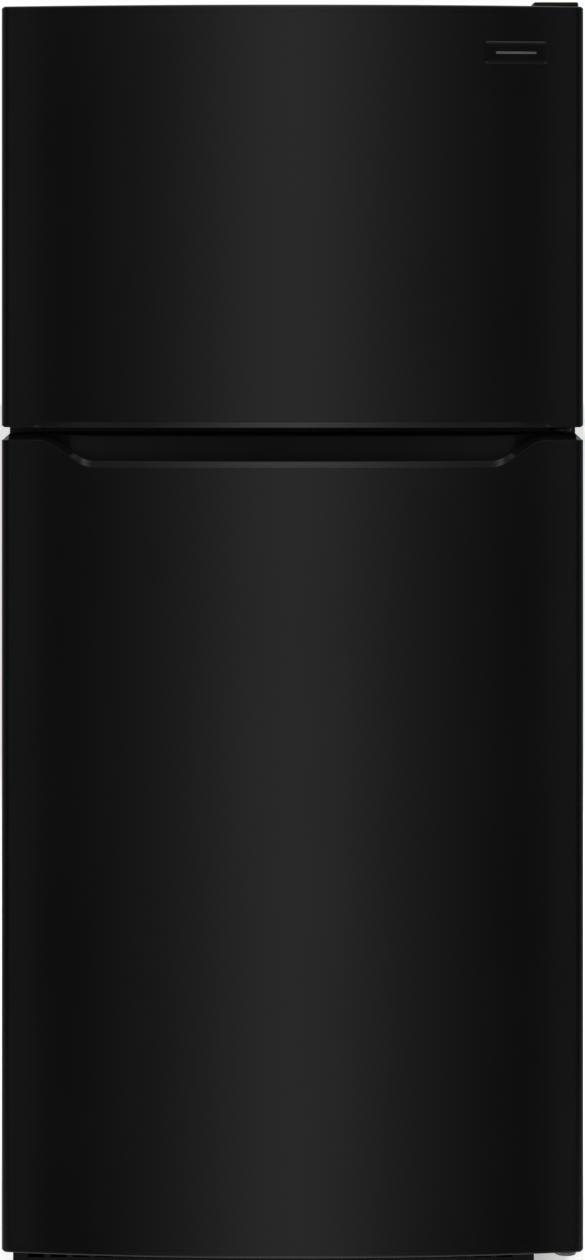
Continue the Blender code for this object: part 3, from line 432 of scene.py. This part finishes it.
def pocket_section(x, front, cap):
    """(y, height into the door) round a handle cap at x, and how many of the points make the pocket."""
    share = scoop(x)
    fall = side_fall(x, *cap["fall"])
    lip = fall + share * cap["lip_drop"]
    pocket = fall + share * cap["pocket"]
    edge = max(mix(*cap["edge"], lip_span(x)) - fall, THINNEST)
    depth = mix(*cap["depth"], share)
    lip_back = front + mix(0.0200, 0.0115, share)
    back = max(POCKET_BACK, lip_back + 0.0090)
    top_round = min(0.0055, (DOOR_BACK - back) * 0.6)
    skin = max(cap["skin"](x) - cap["gap"], lip + edge + THINNEST)
    points = [(DOOR_BACK, cap["height"]), (DOOR_BACK, skin + 0.0003), (DOOR_BACK, skin)]
    points += [(DOOR_BACK, fall + BREAK), (DOOR_BACK - BREAK, fall)]
    for ahead, down in reversed(quarter(top_round, 5)):
        points.append((back + ahead, fall + down * share))
    points.append((back, pocket - POCKET_ROUND * share))
    for ahead, up in quarter(POCKET_ROUND, 5)[1:]:
        points.append((back - ahead, pocket - up * share))
    for ahead, up in reversed(quarter(POCKET_ROUND, 5)):
        points.append((lip_back + ahead, pocket - up * share))
    for ahead, up in quarter(LIP_ROUND, 5):
        points.append((lip_back - ahead, lip + up * share))
    inside = len(points)
    top, bottom = (front + depth, lip), (front, lip + edge)
    points += bend((lip_back - LIP_ROUND, lip), top, bottom, 0.0012)
    points += bend(top, bottom, (front, bottom[1] + 0.0050), cap["crisp"])
    points += [(front, skin - 0.00012), (front + 0.00012, skin), (front + LAP, skin)]
    return points + [(front + LAP, cap["height"])], inside


# height: how far the cap reaches into the door
# edge: the height of the lip's sloped face, outside and inside the freezer lip's span
# depth: how far that face leans back, outside and inside the finger pocket
# fall: the width and height of the slope at the door's sides
# lip_drop, pocket: how far the lip and the pocket's end sit inside the door
# skin, gap: where the sheet ends, and the open line between it and the lip
# crisp: the reach of the round at the foot of the lip's sloped face
FRIDGE_CAP = {
    "height": 0.066, "edge": (0.0088, 0.0088), "depth": (0.0160, 0.0034), "fall": (0.0105, 0.0092),
    "lip_drop": 0.0353, "pocket": 0.0600, "skin": fridge_edge, "gap": 0.0012, "crisp": 0.0010,
}
FREEZER_CAP = {
    "height": 0.046, "edge": (0.0010, 0.0076), "depth": (0.0010, 0.0034), "fall": (0.0040, 0.0030),
    "lip_drop": 0.0, "pocket": 0.0320, "skin": freezer_edge, "gap": 0.0018, "crisp": 0.0007,
}


def handle_cap(name, body, cap, end, inward):
    """The moulded end of a door: a matt finger pocket behind a glossier sloped lip."""
    sections = []
    for x, front, out_x, _ in FRONT_LINE:
        section, inside = pocket_section(x, front, cap)
        lapped = (0, 1, len(section) - 2, len(section) - 1)
        under = max(min(x - out_x * LAP, HALF_DOOR - LAP), LAP - HALF_DOOR)
        sections.append([(under if index in lapped else x, y, end + inward * height)
                         for index, (y, height) in enumerate(section)])
    obj = shown(loft(name + "_finish", sections), body, "trim_black", (name,), angle=28.0)
    obj.data.materials.append(MATERIALS["lip_black"])
    count = len(sections[0])
    for index, face in enumerate(obj.data.polygons):
        around = index % count
        if index < count * (len(sections) - 1) and inside <= around < count - 1:
            face.material_index = 1


def end_cap(name, body, end, inward):
    """The plain end of a door, with a small round along its front."""
    sections = []
    edge, steps = 0.0035, 8
    for x, front, _, _ in FRONT_LINE:
        low = side_fall(x, edge, edge * 0.6)
        section = [(DOOR_BACK, END_CAP), (DOOR_BACK, low + BREAK), (DOOR_BACK - BREAK, low)]
        for step in range(steps + 1):
            turn = math.pi / 2 * step / steps
            section.append((front + edge * (1 - math.sin(turn)), mix(low, edge, 1 - math.cos(turn))))
        section.append((front, END_CAP))
        sections.append([(x, y, end + inward * z) for y, z in section])
    return shown(loft(name + "_finish", sections), body, "trim_black", (name,), "end_black")


def on_bow(name, x_span, z_span, profile, radius, least, segments):
    """A rounded plate bent to the door's bow, from a profile of (inset, height over the door)."""
    rings = []
    for inset, proud in profile:
        ring = rounded(shrink(x_span, inset), shrink(z_span, inset), max(radius - inset, least), segments)
        rings.append([(x, bow(x, -proud), z) for x, z in ring])
    return loft(name, rings)


def badge():
    """A blank plate with a bevelled frame, and a plain satin bar on it."""
    frame_profile = [(0.0, -0.0003), (0.0, 0.0006), (0.0003, 0.0010), (0.0022, 0.0023), (0.0026, 0.0024),
                     (0.0030, 0.0023), (0.0040, 0.0016), (0.0044, 0.0015)]
    plate = on_bow("badge_plate_finish", (0.2495, 0.3325), (1.5935, 1.6228), frame_profile, 0.0040, 0.0012, 6)
    shown(plate, "freezer_door", "badge_black", ("badge_plate",))
    bar_profile = [(0.0, 0.0014), (0.0, 0.0019), (0.0003, 0.0022)]
    bar = on_bow("badge_bar", (0.2645, 0.3175), (1.6066, 1.6093), bar_profile, 0.0010, 0.0010, 4)
    shown(bar, "freezer_door", "badge_black", (), "satin_bar")


def doors_outside():
    tuck = END_CAP + 0.0002
    low, high = FREEZER_DOOR
    door_skin("freezer_door_skin", "freezer_door", lambda x: low + freezer_edge(x), lambda x: high - tuck)
    handle_cap("freezer_door_handle_cap", "freezer_door", FREEZER_CAP, low, 1)
    end_cap("freezer_door_top_cap", "freezer_door", high, -1)
    bottom, top = FRIDGE_DOOR
    door_skin("fridge_door_skin", "fridge_door", lambda x: bottom + tuck, lambda x: top - fridge_edge(x))
    handle_cap("fridge_door_handle_cap", "fridge_door", FRIDGE_CAP, top, -1)
    end_cap("fridge_door_bottom_cap", "fridge_door", bottom, 1)
    badge()


# ---------------------------------------------------------------- the doors' inside

def door_liner(name, body, plate, rim, hollow):
    """The moulded inner door: a flat edge, a raised dyke with soft corners, and a recess.

    plate, rim and hollow are the z spans of the edge, the dyke and the recess.
    """
    def ring(half, span, radius, y, grow=0.0):
        return on_y(rounded((-half - grow, half + grow), shrink(span, -grow), radius), y)

    plate_half, rim_half, hollow_half = 0.3720, 0.3180, 0.2860
    plate_radius, rim_radius, hollow_radius = 0.006, 0.020, 0.010
    rings = []
    for grow, y in ((0.0, DOOR_BACK + 0.0003), (0.0, -0.3099), (-0.0003, -0.3095)):
        rings.append(ring(plate_half, plate, plate_radius, y, grow))
    for grow, y in ((0.0045, -0.3095), (0.0020, -0.3090), (0.0005, -0.3075)):
        rings.append(ring(rim_half, rim, rim_radius, y, grow))
    for inset, y in ((0.0012, -0.2900), (0.0025, -0.2710), (0.0042, -0.2655), (0.0072, -0.2628),
                     (0.0110, -0.2620)):
        rings.append(ring(rim_half, rim, rim_radius + inset * 0.3, y, -inset))
    for grow, y in ((0.0100, -0.2620), (0.0060, -0.2628), (0.0030, -0.2655), (0.0015, -0.2705),
                    (0.0005, -0.2900), (0.0, -0.3030), (-0.0002, -0.3080), (-0.0007, -0.3089),
                    (-0.0017, -0.3093)):
        rings.append(ring(hollow_half, hollow, hollow_radius + grow, y, grow))
    return shown(loft(name + "_finish", rings), body, "liner_white", (name,))


def gasket(name, body, z_span):
    """A bellows seal in a frame round the door's edge."""
    profile = [(0.0, -0.3092), (0.0, -0.3076), (0.0032, -0.3062), (0.0036, -0.3052), (0.0012, -0.3038),
               (0.0006, -0.3020), (0.0006, -0.2996), (0.0016, -0.2984), (0.0032, -0.2980), (0.0128, -0.2980),
               (0.0146, -0.2985), (0.0156, -0.2998), (0.0156, -0.3020), (0.0148, -0.3038), (0.0126, -0.3052),
               (0.0130, -0.3062), (0.0168, -0.3076), (0.0168, -0.3092)]
    x_span = (-0.356, 0.356)
    rings = []
    for inset, y in profile:
        radius = max(0.009 - inset * 0.5, 0.002)
        rings.append(on_y(rounded(shrink(x_span, inset), shrink(z_span, inset), radius, 5), y))
    return shown(loft(name + "_finish", rings, loop=True), body, "gasket_black", (name,))


def tray(name, x_span, y_span, z_span, wall, radius, band=0.010, extra=0.0009):
    """An open tray with soft corners. Its rim is thicker than its walls by extra, over the top band."""
    low, high = z_span
    rim = wall + extra
    levels = [(0.0040, low), (0.0012, low + 0.0012), (0.0, low + 0.0040), (0.0, high - 0.0008),
              (0.0008, high), (rim - 0.0006, high), (rim, high - 0.0007), (rim, high - band),
              (wall, high - band - 0.001), (wall, low + 0.0060), (wall + 0.0012, low + wall + 0.0010),
              (wall + 0.0040, low + wall)]
    rings = []
    for inset, z in levels:
        outline = rounded(shrink(x_span, inset), shrink(y_span, inset), max(radius - inset, 0.002))
        rings.append(on_z(outline, z))
    return loft(name, rings)


def door_bin(name, body, x_span, z_span, front):
    bin_body = tray(name + "_finish", x_span, (-0.3085, front), z_span, 0.0025, 0.012)
    return shown(bin_body, body, "clear_plastic", (name,))


def extrusion(name, outline, x_span, body, slot):
    """A closed (y, z) outline swept along X."""
    return shown(loft(name, [[(x, y, z) for y, z in outline] for x in x_span]), body, slot)


def box_outline(y_span, z_span):
    return [(y_span[0], z_span[0]), (y_span[1], z_span[0]), (y_span[1], z_span[1]), (y_span[0], z_span[1])]


def doors_inside():
    door_liner("freezer_door_liner", "freezer_door", (1.1260, 1.6640), (1.1530, 1.6080), (1.1770, 1.5840))
    door_liner("fridge_door_liner", "fridge_door", (0.0500, 1.1060), (0.1260, 1.0800), (0.1500, 1.0560))
    gasket("freezer_door_gasket", "freezer_door", (1.1235, 1.6390))
    gasket("fridge_door_gasket", "fridge_door", (0.0830, 1.1095))
    wide, left, right = (-0.2840, 0.2840), (-0.2840, -0.0100), (0.0100, 0.2840)
    for name, z_span in (("lower", (1.1850, 1.2600)), ("upper", (1.3950, 1.4700))):
        door_bin("freezer_door_rack_" + name, "freezer_door", wide, z_span, -0.2150)
    for name, x_span, z_span in (("dairy_bin", left, (0.8600, 0.9450)),
                                 ("door_bin_upper", right, (0.8600, 0.9450)),
                                 ("door_bin_middle", wide, (0.5600, 0.6600)),
                                 ("door_bin_lower", wide, (0.1600, 0.3300))):
        door_bin(name, "fridge_door", x_span, z_span, -0.2050)
    refined("dairy_lid_finish", "dairy_lid", "clear_plastic", "dairy_lid", 0.0008, 3)


# ---------------------------------------------------------------- the cabinet

def bent_sheet(name, side):
    """A side panel: one sheet with a rolled bend at its front and a flange turned in behind the door."""
    radius, steps, trim = 0.0030, 8, 0.0002
    bend_x, bend_y = CABINET_HALF - radius, CABINET_FRONT + radius
    path = [((CABINET_HALF, y), (1, 0)) for y in (CABINET_BACK - trim, -0.10, bend_y)]
    for step in range(1, steps):
        turn = math.pi / 2 * step / steps
        out = (math.cos(turn), -math.sin(turn))
        path.append(((bend_x + radius * out[0], bend_y + radius * out[1]), out))
    path += [((bend_x, CABINET_FRONT), (0, -1)), ((0.3340, CABINET_FRONT), (0, -1))]
    inner = [(x - out_x * SHEET, y - out_y * SHEET) for (x, y), (out_x, out_y) in reversed(path)]
    outline = [place for place, _ in path] + inner
    middle_x = sum(x for x, _ in outline) / len(outline)
    rings = []
    for z, inset in ((0.0280, trim), (0.0284, 0.0), (1.6599, 0.0), (1.6603, trim)):
        rings.append([(side * (x - math.copysign(inset, x - middle_x)), y, z) for x, y in outline])
    return shown(loft(name + "_finish", rings), "cabinet", "cabinet_black", (name,))


# (y, z of the floor) up the step over the machine compartment
LINER_STEP = [(0.1400, 0.1185), (0.1530, 0.1202), (0.1625, 0.1255), (0.1670, 0.1330), (0.1684, 0.1420),
              (0.1686, 0.3020), (0.1698, 0.3090), (0.1735, 0.3140), (0.1790, 0.3160), (0.1850, 0.3165)]


def open_liner(name, z_span, flange_z, rear, step=()):
    """A moulded compartment: front flange, soft opening edge, walls, a step in its floor, a rounded back."""
    def ring(grow, y, corner=0.020, low=z_span[0]):
        spans = (-LINER_HALF - grow, LINER_HALF + grow), (low - grow, z_span[1] + grow)
        return on_y(rounded(*spans, corner), y)

    flange = rounded((-0.3335, 0.3335), flange_z, 0.004)
    rings = [on_y(flange, -0.2960), on_y(flange, -0.2973)]
    rings += [ring(0.0045, -0.2973, 0.022), ring(0.0020, -0.2966, 0.021), ring(0.0006, -0.2948),
              ring(0.0, -0.2915)]
    rings += [ring(0.0, y, low=low) for y, low in step]
    rear_low = step[-1][1] if step else z_span[0]
    rings += [ring(-inset, rear - up, low=rear_low) for inset, up in quarter(0.018, 5)]
    obj = loft(name + "_finish", rings, caps=(False, True))
    face_inwards(obj)
    thick = obj.modifiers.new("sheet", "SOLIDIFY")
    thick.thickness = 0.0012
    thick.offset = -1.0
    return shown(obj, "cabinet", "liner_white", (name,))


def face_inwards(obj):
    """Turns an open shell's faces so that they look at its middle."""
    shape = bmesh.new()
    shape.from_mesh(obj.data)
    rear = max(shape.faces, key=lambda face: face.calc_center_median().y)
    if rear.normal.y > 0:
        bmesh.ops.reverse_faces(shape, faces=shape.faces)
    shape.to_mesh(obj.data)
    shape.free()


def ledge(name, x_span, y_span, z_span):
    """A moulded bar along a liner's wall, with round ends and soft edges."""
    radius = 0.0022
    soft = quarter(radius, 3)
    levels = [(inset, z_span[0] + up) for inset, up in reversed(soft)]
    levels += [(inset, z_span[1] - up) for inset, up in soft]
    rings = []
    for inset, z in levels:
        rings.append(on_z(rounded(shrink(x_span, inset), shrink(y_span, inset), radius * 1.5, 4), z))
    return shown(loft(name, rings), "cabinet", "liner_white")


def shelf_ledges():
    rows = [("freezer", 1.3744, (-0.170, 0.220)), ("upper", 0.8194, (-0.150, 0.310)),
            ("lower", 0.5844, (-0.150, 0.310)), ("crisper", 0.3444, (-0.150, 0.160))]
    for label, top, y_span in rows:
        for tag, side in (("left", -1), ("right", 1)):
            x_span = sorted((side * 0.3085, side * 0.3240))
            ledge(f"ledge_{label}_{tag}", x_span, y_span, (top - 0.0085, top))


def fixed(name, slot, *softening, **settings):
    """A refined node of the cabinet."""
    return refined(name + "_finish", "cabinet", slot, name, *softening, **settings)


def cabinet_shell():
    bent_sheet("side_panel_left", -1)
    bent_sheet("side_panel_right", 1)
    for name in ("top_panel", "back_panel", "front_rail", "mullion_rail", "machine_cover"):
        fixed(name, "cabinet_black", 0.0003)
    hem_outline = box_outline((0.3794, 0.3800), (0.2780, 0.2900))
    extrusion("back_panel_hem", hem_outline, (-0.3730, 0.3730), "cabinet", "cabinet_black")
    underside = box_outline((-0.2130, 0.2060), (0.0711, 0.0717))
    extrusion("underside_sheet", underside, (-0.3728, 0.3728), "cabinet", "zinc_steel")
    fixed("toe_grille", "trim_black", 0.0006)


def compartments():
    open_liner("freezer_liner", (1.1455, 1.6155), (1.1362, 1.6250), 0.3165)
    open_liner("fresh_food_liner", (0.1185, 1.0875), (0.1080, 1.0968), 0.3235, LINER_STEP)
    shelf_ledges()
    for level in ("upper", "lower"):
        fixed("shelf_frame_" + level, "liner_white", 0.0014, 3)
        fixed("shelf_glass_" + level, "shelf_glass", 0.0008, 2)
    fixed("crisper_cover", "shelf_glass", 0.0)
    fixed("freezer_shelf", "liner_white", 0.0012, 3)
    fixed("evaporator_cover", "liner_white", 0.0007, 2)
    fixed("control_housing", "liner_white", 0.0)
    refined("temperature_knob_finish", "temperature_knob", "trim_black", "temperature_knob", 0.0004)
    refined("light_switch_finish", "light_switch", "trim_black", "light_switch", 0.0012, 3)


def hinges():
    fixed("center_hinge", "cabinet_black", 0.0003)
    fixed("top_hinge", "zinc_steel", 0.0003)
    fixed("bottom_hinge", "zinc_steel", 0.0003)


def machinery():
    fixed("base_pan", "zinc_steel", 0.0003)
    fixed("compressor", "machine_black", 0.0)
    fixed("condenser_coil", "coil_black", 0.0, angle=60.0)
    fixed("condenser_fan_motor", "machine_black", 0.0008)
    fixed("drip_pan", "machine_black", 0.0004)
    fixed("cord_gland", "dark_rubber", 0.0004)
    fixed("evaporator_coil", "coil_metal", 0.0, angle=60.0)
    for name in ("evaporator_fan", "condenser_fan"):
        refined(name + "_finish", name, "fan_grey", name, 0.0004)


def feet():
    for side in ("left", "right"):
        for name, slot, width in (("leveling_leg_" + side, "zinc_steel", 0.0005),
                                  ("rear_roller_" + side, "dark_rubber", 0.0008)):
            refined(name + "_finish", name, slot, name, width)


def top_hinge_cover():
    """A moulded hood, a little crowned and sloped at its front, with a skirt behind the door."""
    x_span, y_span = (0.3155, 0.3742), (-0.3500, -0.2240)
    low, top, crown, soft = 1.6708, 1.6800, 0.0024, 0.0030
    slope, slope_back = 0.0046, -0.3000
    skirt_low, skirt_wall, skirt_front = 1.6618, 0.0015, -0.2965

    def ring(inset, z, lift=0.0):
        """One level of the hood: it falls by lift towards -X, and by slope towards its front."""
        outline = rounded(shrink(x_span, inset), shrink(y_span, inset), max(0.011 - inset, 0.003))
        rise = max(0.0, (z - low) / (top - low))
        placed = []
        for x, y in outline:
            fall = lift * ((x_span[1] - x) / (x_span[1] - x_span[0])) ** 2
            ahead = max(0.0, (slope_back - y) / (slope_back - y_span[0]))
            placed.append((x, y, z - max(fall, slope * ahead * rise)))
        return placed

    rings = [ring(0.0016, low), ring(0.0002, low), ring(0.0, low + 0.0003)]
    rings += [ring(inset, top - up, crown * (1 - up / soft)) for inset, up in quarter(soft, 5)]
    rings += [ring(inset, top, crown) for inset in (0.0080, 0.0160, 0.0240)]
    shown(loft("top_hinge_cover_finish", rings), "cabinet", "trim_black", ("top_hinge_cover",))
    skirt = [ring(inset, z) for inset, z in ((0.0, skirt_low), (0.0, low + 0.001), (skirt_wall, low + 0.001),
                                             (skirt_wall, skirt_low))]
    behind = [[(x, max(y, skirt_front), z) for x, y, z in row] for row in skirt]
    shown(loft("top_hinge_cover_skirt", behind, loop=True), "cabinet", "trim_black")


def crisper(side, x_span):
    """A clear drawer with a rolled grip along its front."""
    name = "crisper_drawer_" + side
    drawer = tray(name + "_finish", x_span, (-0.1780, 0.1600), (0.1200, 0.3330), 0.0028, 0.014, 0.014, 0.0010)
    shown(drawer, name, "clear_plastic", (name,))
    front, top = -0.1782, 0.3322
    grip = [(-0.0012, 0.0), (0.0080, 0.0), (0.0102, 0.0008), (0.0114, 0.0028), (0.0114, 0.0140),
            (0.0108, 0.0156), (0.0094, 0.0162), (0.0084, 0.0152), (0.0082, 0.0060), (0.0070, 0.0036),
            (0.0046, 0.0028), (-0.0012, 0.0028)]
    outline = [(front - ahead, top - down) for ahead, down in grip]
    extrusion("crisper_grip_" + side, outline, shrink(x_span, 0.012), name, "clear_plastic")


# ---------------------------------------------------------------- fasteners and small details

BOLT_RADIUS, SCREW_RADIUS = 0.0036, 0.0034


def screw(name, centre, out, radius, height, slot, washer, hexagon):
    """A washer, then a round or hexagonal head with a chamfer and a dimple."""
    turn = Vector(out).to_track_quat("Z", "Y").to_matrix().to_4x4()
    place = Matrix.Translation(centre) @ turn
    points = 24

    def ring(size, z, flats=False):
        outline = []
        for i in range(points):
            angle = math.tau * i / points
            reach = size
            if flats:
                local = (angle + math.pi / 6) % (math.pi / 3) - math.pi / 6
                reach = size * math.cos(math.pi / 6) / math.cos(local)
            outline.append(tuple(place @ Vector((reach * math.cos(angle), reach * math.sin(angle), z))))
        return outline

    rings = [ring(radius * washer, 0.0), ring(radius * washer, height * 0.16),
             ring(radius * washer * 0.97, height * 0.22), ring(radius, height * 0.22, hexagon),
             ring(radius, height * 0.86, hexagon), ring(radius * 0.86, height),
             ring(radius * 0.42, height), ring(radius * 0.36, height * 0.72)]
    return shown(loft(name, rings), "cabinet", slot)


def bolts(label, centres, out, height, slot="zinc_steel"):
    for i, centre in enumerate(centres):
        screw(f"{label}_{i}", centre, out, BOLT_RADIUS, height, slot, 1.5, True)


def screws(label, centres, out, height, washer):
    for i, centre in enumerate(centres):
        screw(f"{label}_{i}", centre, out, SCREW_RADIUS, height, "zinc_steel", washer, False)


def fasteners():
    forward, backward, upward = (0, -1, 0), (0, 1, 0), (0, 0, 1)
    spots = [(x, BOLT_PLANE, 1.1151) for x in (0.3140, 0.3310)]
    bolts("center_hinge_bolt", spots, forward, 0.0030, "cabinet_black")
    spots = [(x, BOLT_PLANE, 0.0370) for x in (0.3300, 0.3480, 0.3640)]
    bolts("bottom_hinge_bolt", spots, forward, 0.0030)
    spots = [(x, y, 1.6730) for x, y in ((0.3450, -0.2730), (0.3610, -0.2730), (0.3530, -0.2480))]
    bolts("top_hinge_bolt", spots, upward, 0.0040)
    spots = [(x, 0.3825, z) for x, z in ((-0.355, 0.055), (-0.355, 0.270), (-0.120, 0.272), (0.120, 0.272),
                                         (0.355, 0.270), (0.355, 0.055), (0.0, 0.052))]
    screws("machine_cover_screw", spots, backward, 0.0022, 1.3)
    spots = [(x, 0.3810, z) for z in (0.300, 0.640, 0.980, 1.320, 1.648) for x in (-0.366, 0.366)]
    screws("back_panel_screw", spots, backward, 0.0014, 1.25)
    spots = [(x, 0.2400, z) for z in (1.200, 1.560) for x in (-0.300, 0.300)]
    screws("evaporator_cover_screw", spots, forward, 0.0018, 1.3)


def lamp():
    """A soft-edged lens under the control housing."""
    x_span, y_span, top = (-0.052, 0.052), (0.060, 0.130), 1.0372
    rings = []
    for inset, drop in ((0.0, 0.0), (0.0, 0.0035), (0.0010, 0.0065), (0.0040, 0.0085), (0.0090, 0.0095)):
        outline = rounded(shrink(x_span, inset), shrink(y_span, inset), 0.012 - inset * 0.5)
        rings.append(on_z(outline, top - drop))
    shown(loft("lamp_lens", rings), "cabinet", "liner_white", (), "lamp_lens")


def dial_marks():
    """Raised ticks round the temperature knob, longer towards cold, where the housing's face has room."""
    face, knob_z, inner, room = 0.0198, 1.0620, 0.0190, 0.0235
    half_width, proud = 0.0005, 0.0004
    shape = bmesh.new()
    for i in range(9):
        angle = math.radians(-120 + 30 * i)
        length = 0.0016 + 0.0003 * i
        out = Vector((math.sin(angle), 0.0, math.cos(angle)))
        across = Vector((math.cos(angle), 0.0, -math.sin(angle)))
        base = Vector((0.0, face, knob_z)) + out * inner
        if abs((base + out * length).z - knob_z) > room:
            continue
        corners = []
        for y in (0.0, -proud):
            for along, side in ((0, -1), (0, 1), (length, 1), (length, -1)):
                place = base + out * along + across * side * half_width + Vector((0, y, 0))
                corners.append(shape.verts.new(place))
        for quad in ((0, 1, 2, 3), (7, 6, 5, 4), (0, 4, 5, 1), (1, 5, 6, 2), (2, 6, 7, 3), (3, 7, 4, 0)):
            shape.faces.new([corners[k] for k in quad])
    shown(from_shape("dial_marks", shape), "cabinet", "trim_black")


# ---------------------------------------------------------------- light, floor and camera

# The studio as the doors mirror it: (degrees either side of straight ahead, brightness)
STUDIO = [
    (0.0, 0.50), (1.7, 0.49), (3.9, 0.40), (6.2, 0.29), (8.4, 0.205), (10.7, 0.145), (12.9, 0.10),
    (15.2, 0.055), (17.2, 0.030), (18.6, 0.025), (19.3, 0.06), (19.9, 0.165), (20.9, 0.175), (21.6, 0.12),
    (24.0, 0.06), (30.0, 0.035), (62.0, 0.025), (80.0, 0.09), (95.0, 0.16), (137.0, 0.20), (180.0, 0.50),
]


def maths(tree, operation, first, second=None):
    """One math node. second is a socket or a plain number."""
    made = node(tree, "ShaderNodeMath", operation=operation)
    tree.links.new(first, made.inputs[0])
    if isinstance(second, float):
        made.inputs[1].default_value = second
    elif second is not None:
        tree.links.new(second, made.inputs[1])
    return made.outputs["Value"]


def toward_grey(tree, color, share, level):
    """A colour that turns to an even grey as share goes from 0 to 1."""
    mixed = node(tree, "ShaderNodeMix", data_type="RGBA")
    mixed.inputs["B"].default_value = (level, level, level, 1)
    tree.links.new(share, mixed.inputs["Factor"])
    tree.links.new(color, mixed.inputs["A"])
    return mixed.outputs["Result"]


def studio_bands(tree, share):
    """The brightness round the horizon. share goes from 0 in front of the doors to 1 behind them."""
    ramp = node(tree, "ShaderNodeValToRGB")
    stops = ramp.color_ramp.elements
    while len(stops) > 1:
        stops.remove(stops[-1])
    for i, (degrees, bright) in enumerate(STUDIO):
        stop = stops[0] if i == 0 else stops.new(degrees / 180)
        stop.position = degrees / 180
        stop.color = (bright, bright, bright, 1)
    tree.links.new(share, ramp.inputs["Fac"])
    return ramp.outputs["Color"]


def studio_light(tree):
    """The bands of light, brighter above and below the horizon, with a pale ceiling and a grey ground."""
    where = node(tree, "ShaderNodeTexCoord")
    parts = node(tree, "ShaderNodeSeparateXYZ")
    tree.links.new(where.outputs["Generated"], parts.inputs["Vector"])
    x, y, z = (parts.outputs[axis] for axis in "XYZ")
    turn = maths(tree, "ARCTAN2", x, maths(tree, "MULTIPLY", y, -1.0))
    share = maths(tree, "DIVIDE", maths(tree, "ABSOLUTE", turn), math.pi)
    height = maths(tree, "ABSOLUTE", z)
    lifted = node(tree, "ShaderNodeVectorMath", operation="SCALE")
    tree.links.new(studio_bands(tree, share), lifted.inputs[0])
    tree.links.new(smooth_range(tree, height, (0.34, 0.62), (1.0, 2.35)), lifted.inputs["Scale"])
    ceiling = toward_grey(tree, lifted.outputs["Vector"], smooth_range(tree, height, (0.90, 0.97)), 0.9)
    aside = smooth_range(tree, share, (0.16, 0.24))
    below = smooth_range(tree, z, (-0.20, -0.42))
    return toward_grey(tree, ceiling, maths(tree, "MULTIPLY", aside, below), 0.42)


def studio_world():
    """The surroundings: the studio to every ray but the camera's own, which sees plain white."""
    world = bpy.data.worlds.new("studio")
    bpy.context.scene.world = world
    world.use_nodes = True
    tree = world.node_tree
    tree.nodes.clear()
    lit = node(tree, "ShaderNodeBackground", {"Strength": 1.0})
    tree.links.new(studio_light(tree), lit.inputs["Color"])
    plain = node(tree, "ShaderNodeBackground", {"Color": (1, 1, 1, 1), "Strength": 1.0})
    path = node(tree, "ShaderNodeLightPath")
    mixed = node(tree, "ShaderNodeMixShader")
    tree.links.new(path.outputs["Is Camera Ray"], mixed.inputs["Fac"])
    tree.links.new(lit.outputs["Background"], mixed.inputs[1])
    tree.links.new(plain.outputs["Background"], mixed.inputs[2])
    out = node(tree, "ShaderNodeOutputWorld")
    tree.links.new(mixed.outputs["Shader"], out.inputs["Surface"])


def soft_light(name, place, aim, size, power):
    """A rectangular light that the doors don't mirror."""
    data = bpy.data.lights.new(name, "AREA")
    data.shape = "RECTANGLE"
    data.size, data.size_y = size
    data.energy = power
    light = bpy.data.objects.new(name, data)
    bpy.context.scene.collection.objects.link(light)
    light.location = place
    light.rotation_euler = (Vector(aim) - Vector(place)).to_track_quat("-Z", "Y").to_euler()
    light.visible_glossy = False


def floor():
    """A wide pale floor that glows a little, so that it is nearly white as the photo's backdrop is."""
    shape = bmesh.new()
    bmesh.ops.create_grid(shape, x_segments=8, y_segments=8, size=40.0)
    obj = from_shape("floor", shape)
    obj.data.materials.append(finish_material(
        "floor_pale", (0.86, 0.86, 0.86), 0.01, (0.75, 0.85), [(60.0, 0.02, 0.001, EVEN)], 0.8,
        Emission_Color=(0.95, 0.95, 0.95, 1.0), Emission_Strength=0.40))
    obj.visible_glossy = False


def camera():
    """A level view from the front, shifted down so that the uprights stay upright."""
    data = bpy.data.cameras.new("camera")
    data.lens = 91.90
    data.sensor_width = 36.0
    data.sensor_fit = "AUTO"
    data.shift_y = -0.2519
    data.clip_end = 200.0
    obj = bpy.data.objects.new("camera", data)
    bpy.context.scene.collection.objects.link(obj)
    obj.location = (0.0, -4.55, 1.27)
    obj.rotation_euler = (math.radians(90), 0.0, 0.0)
    bpy.context.scene.camera = obj


def plain_nodes():
    """Nodes kept as they are, with their slot's material."""
    for cad in ("cabinet_foam", "freezer_door_foam", "fridge_door_foam"):
        for material_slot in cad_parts[cad].material_slots:
            material_slot.material = MATERIALS["foam"]


camera()
doors_outside()
doors_inside()
cabinet_shell()
compartments()
hinges()
machinery()
feet()
top_hinge_cover()
crisper("left", (-0.3160, -0.0050))
crisper("right", (0.0050, 0.3160))
lamp()
dial_marks()
fasteners()
plain_nodes()
studio_world()
soft_light("overhead", (0.0, -1.8, 3.6), (0.0, 0.0, 0.8), (3.0, 2.0), 60.0)
soft_light("front_fill", (0.0, -3.5, 3.0), (0.0, -0.3, 0.8), (2.4, 1.6), 48.0)
soft_light("left_side", (-3.2, -0.6, 2.0), (0.0, 0.0, 0.9), (1.6, 2.4), 40.0)
soft_light("right_side", (3.2, -0.6, 2.0), (0.0, 0.0, 0.9), (1.6, 2.4), 40.0)
soft_light("behind", (0.0, 3.4, 2.6), (0.0, 0.0, 0.9), (3.0, 2.0), 50.0)
floor()
bpy.context.scene.view_settings.view_transform = "Standard"
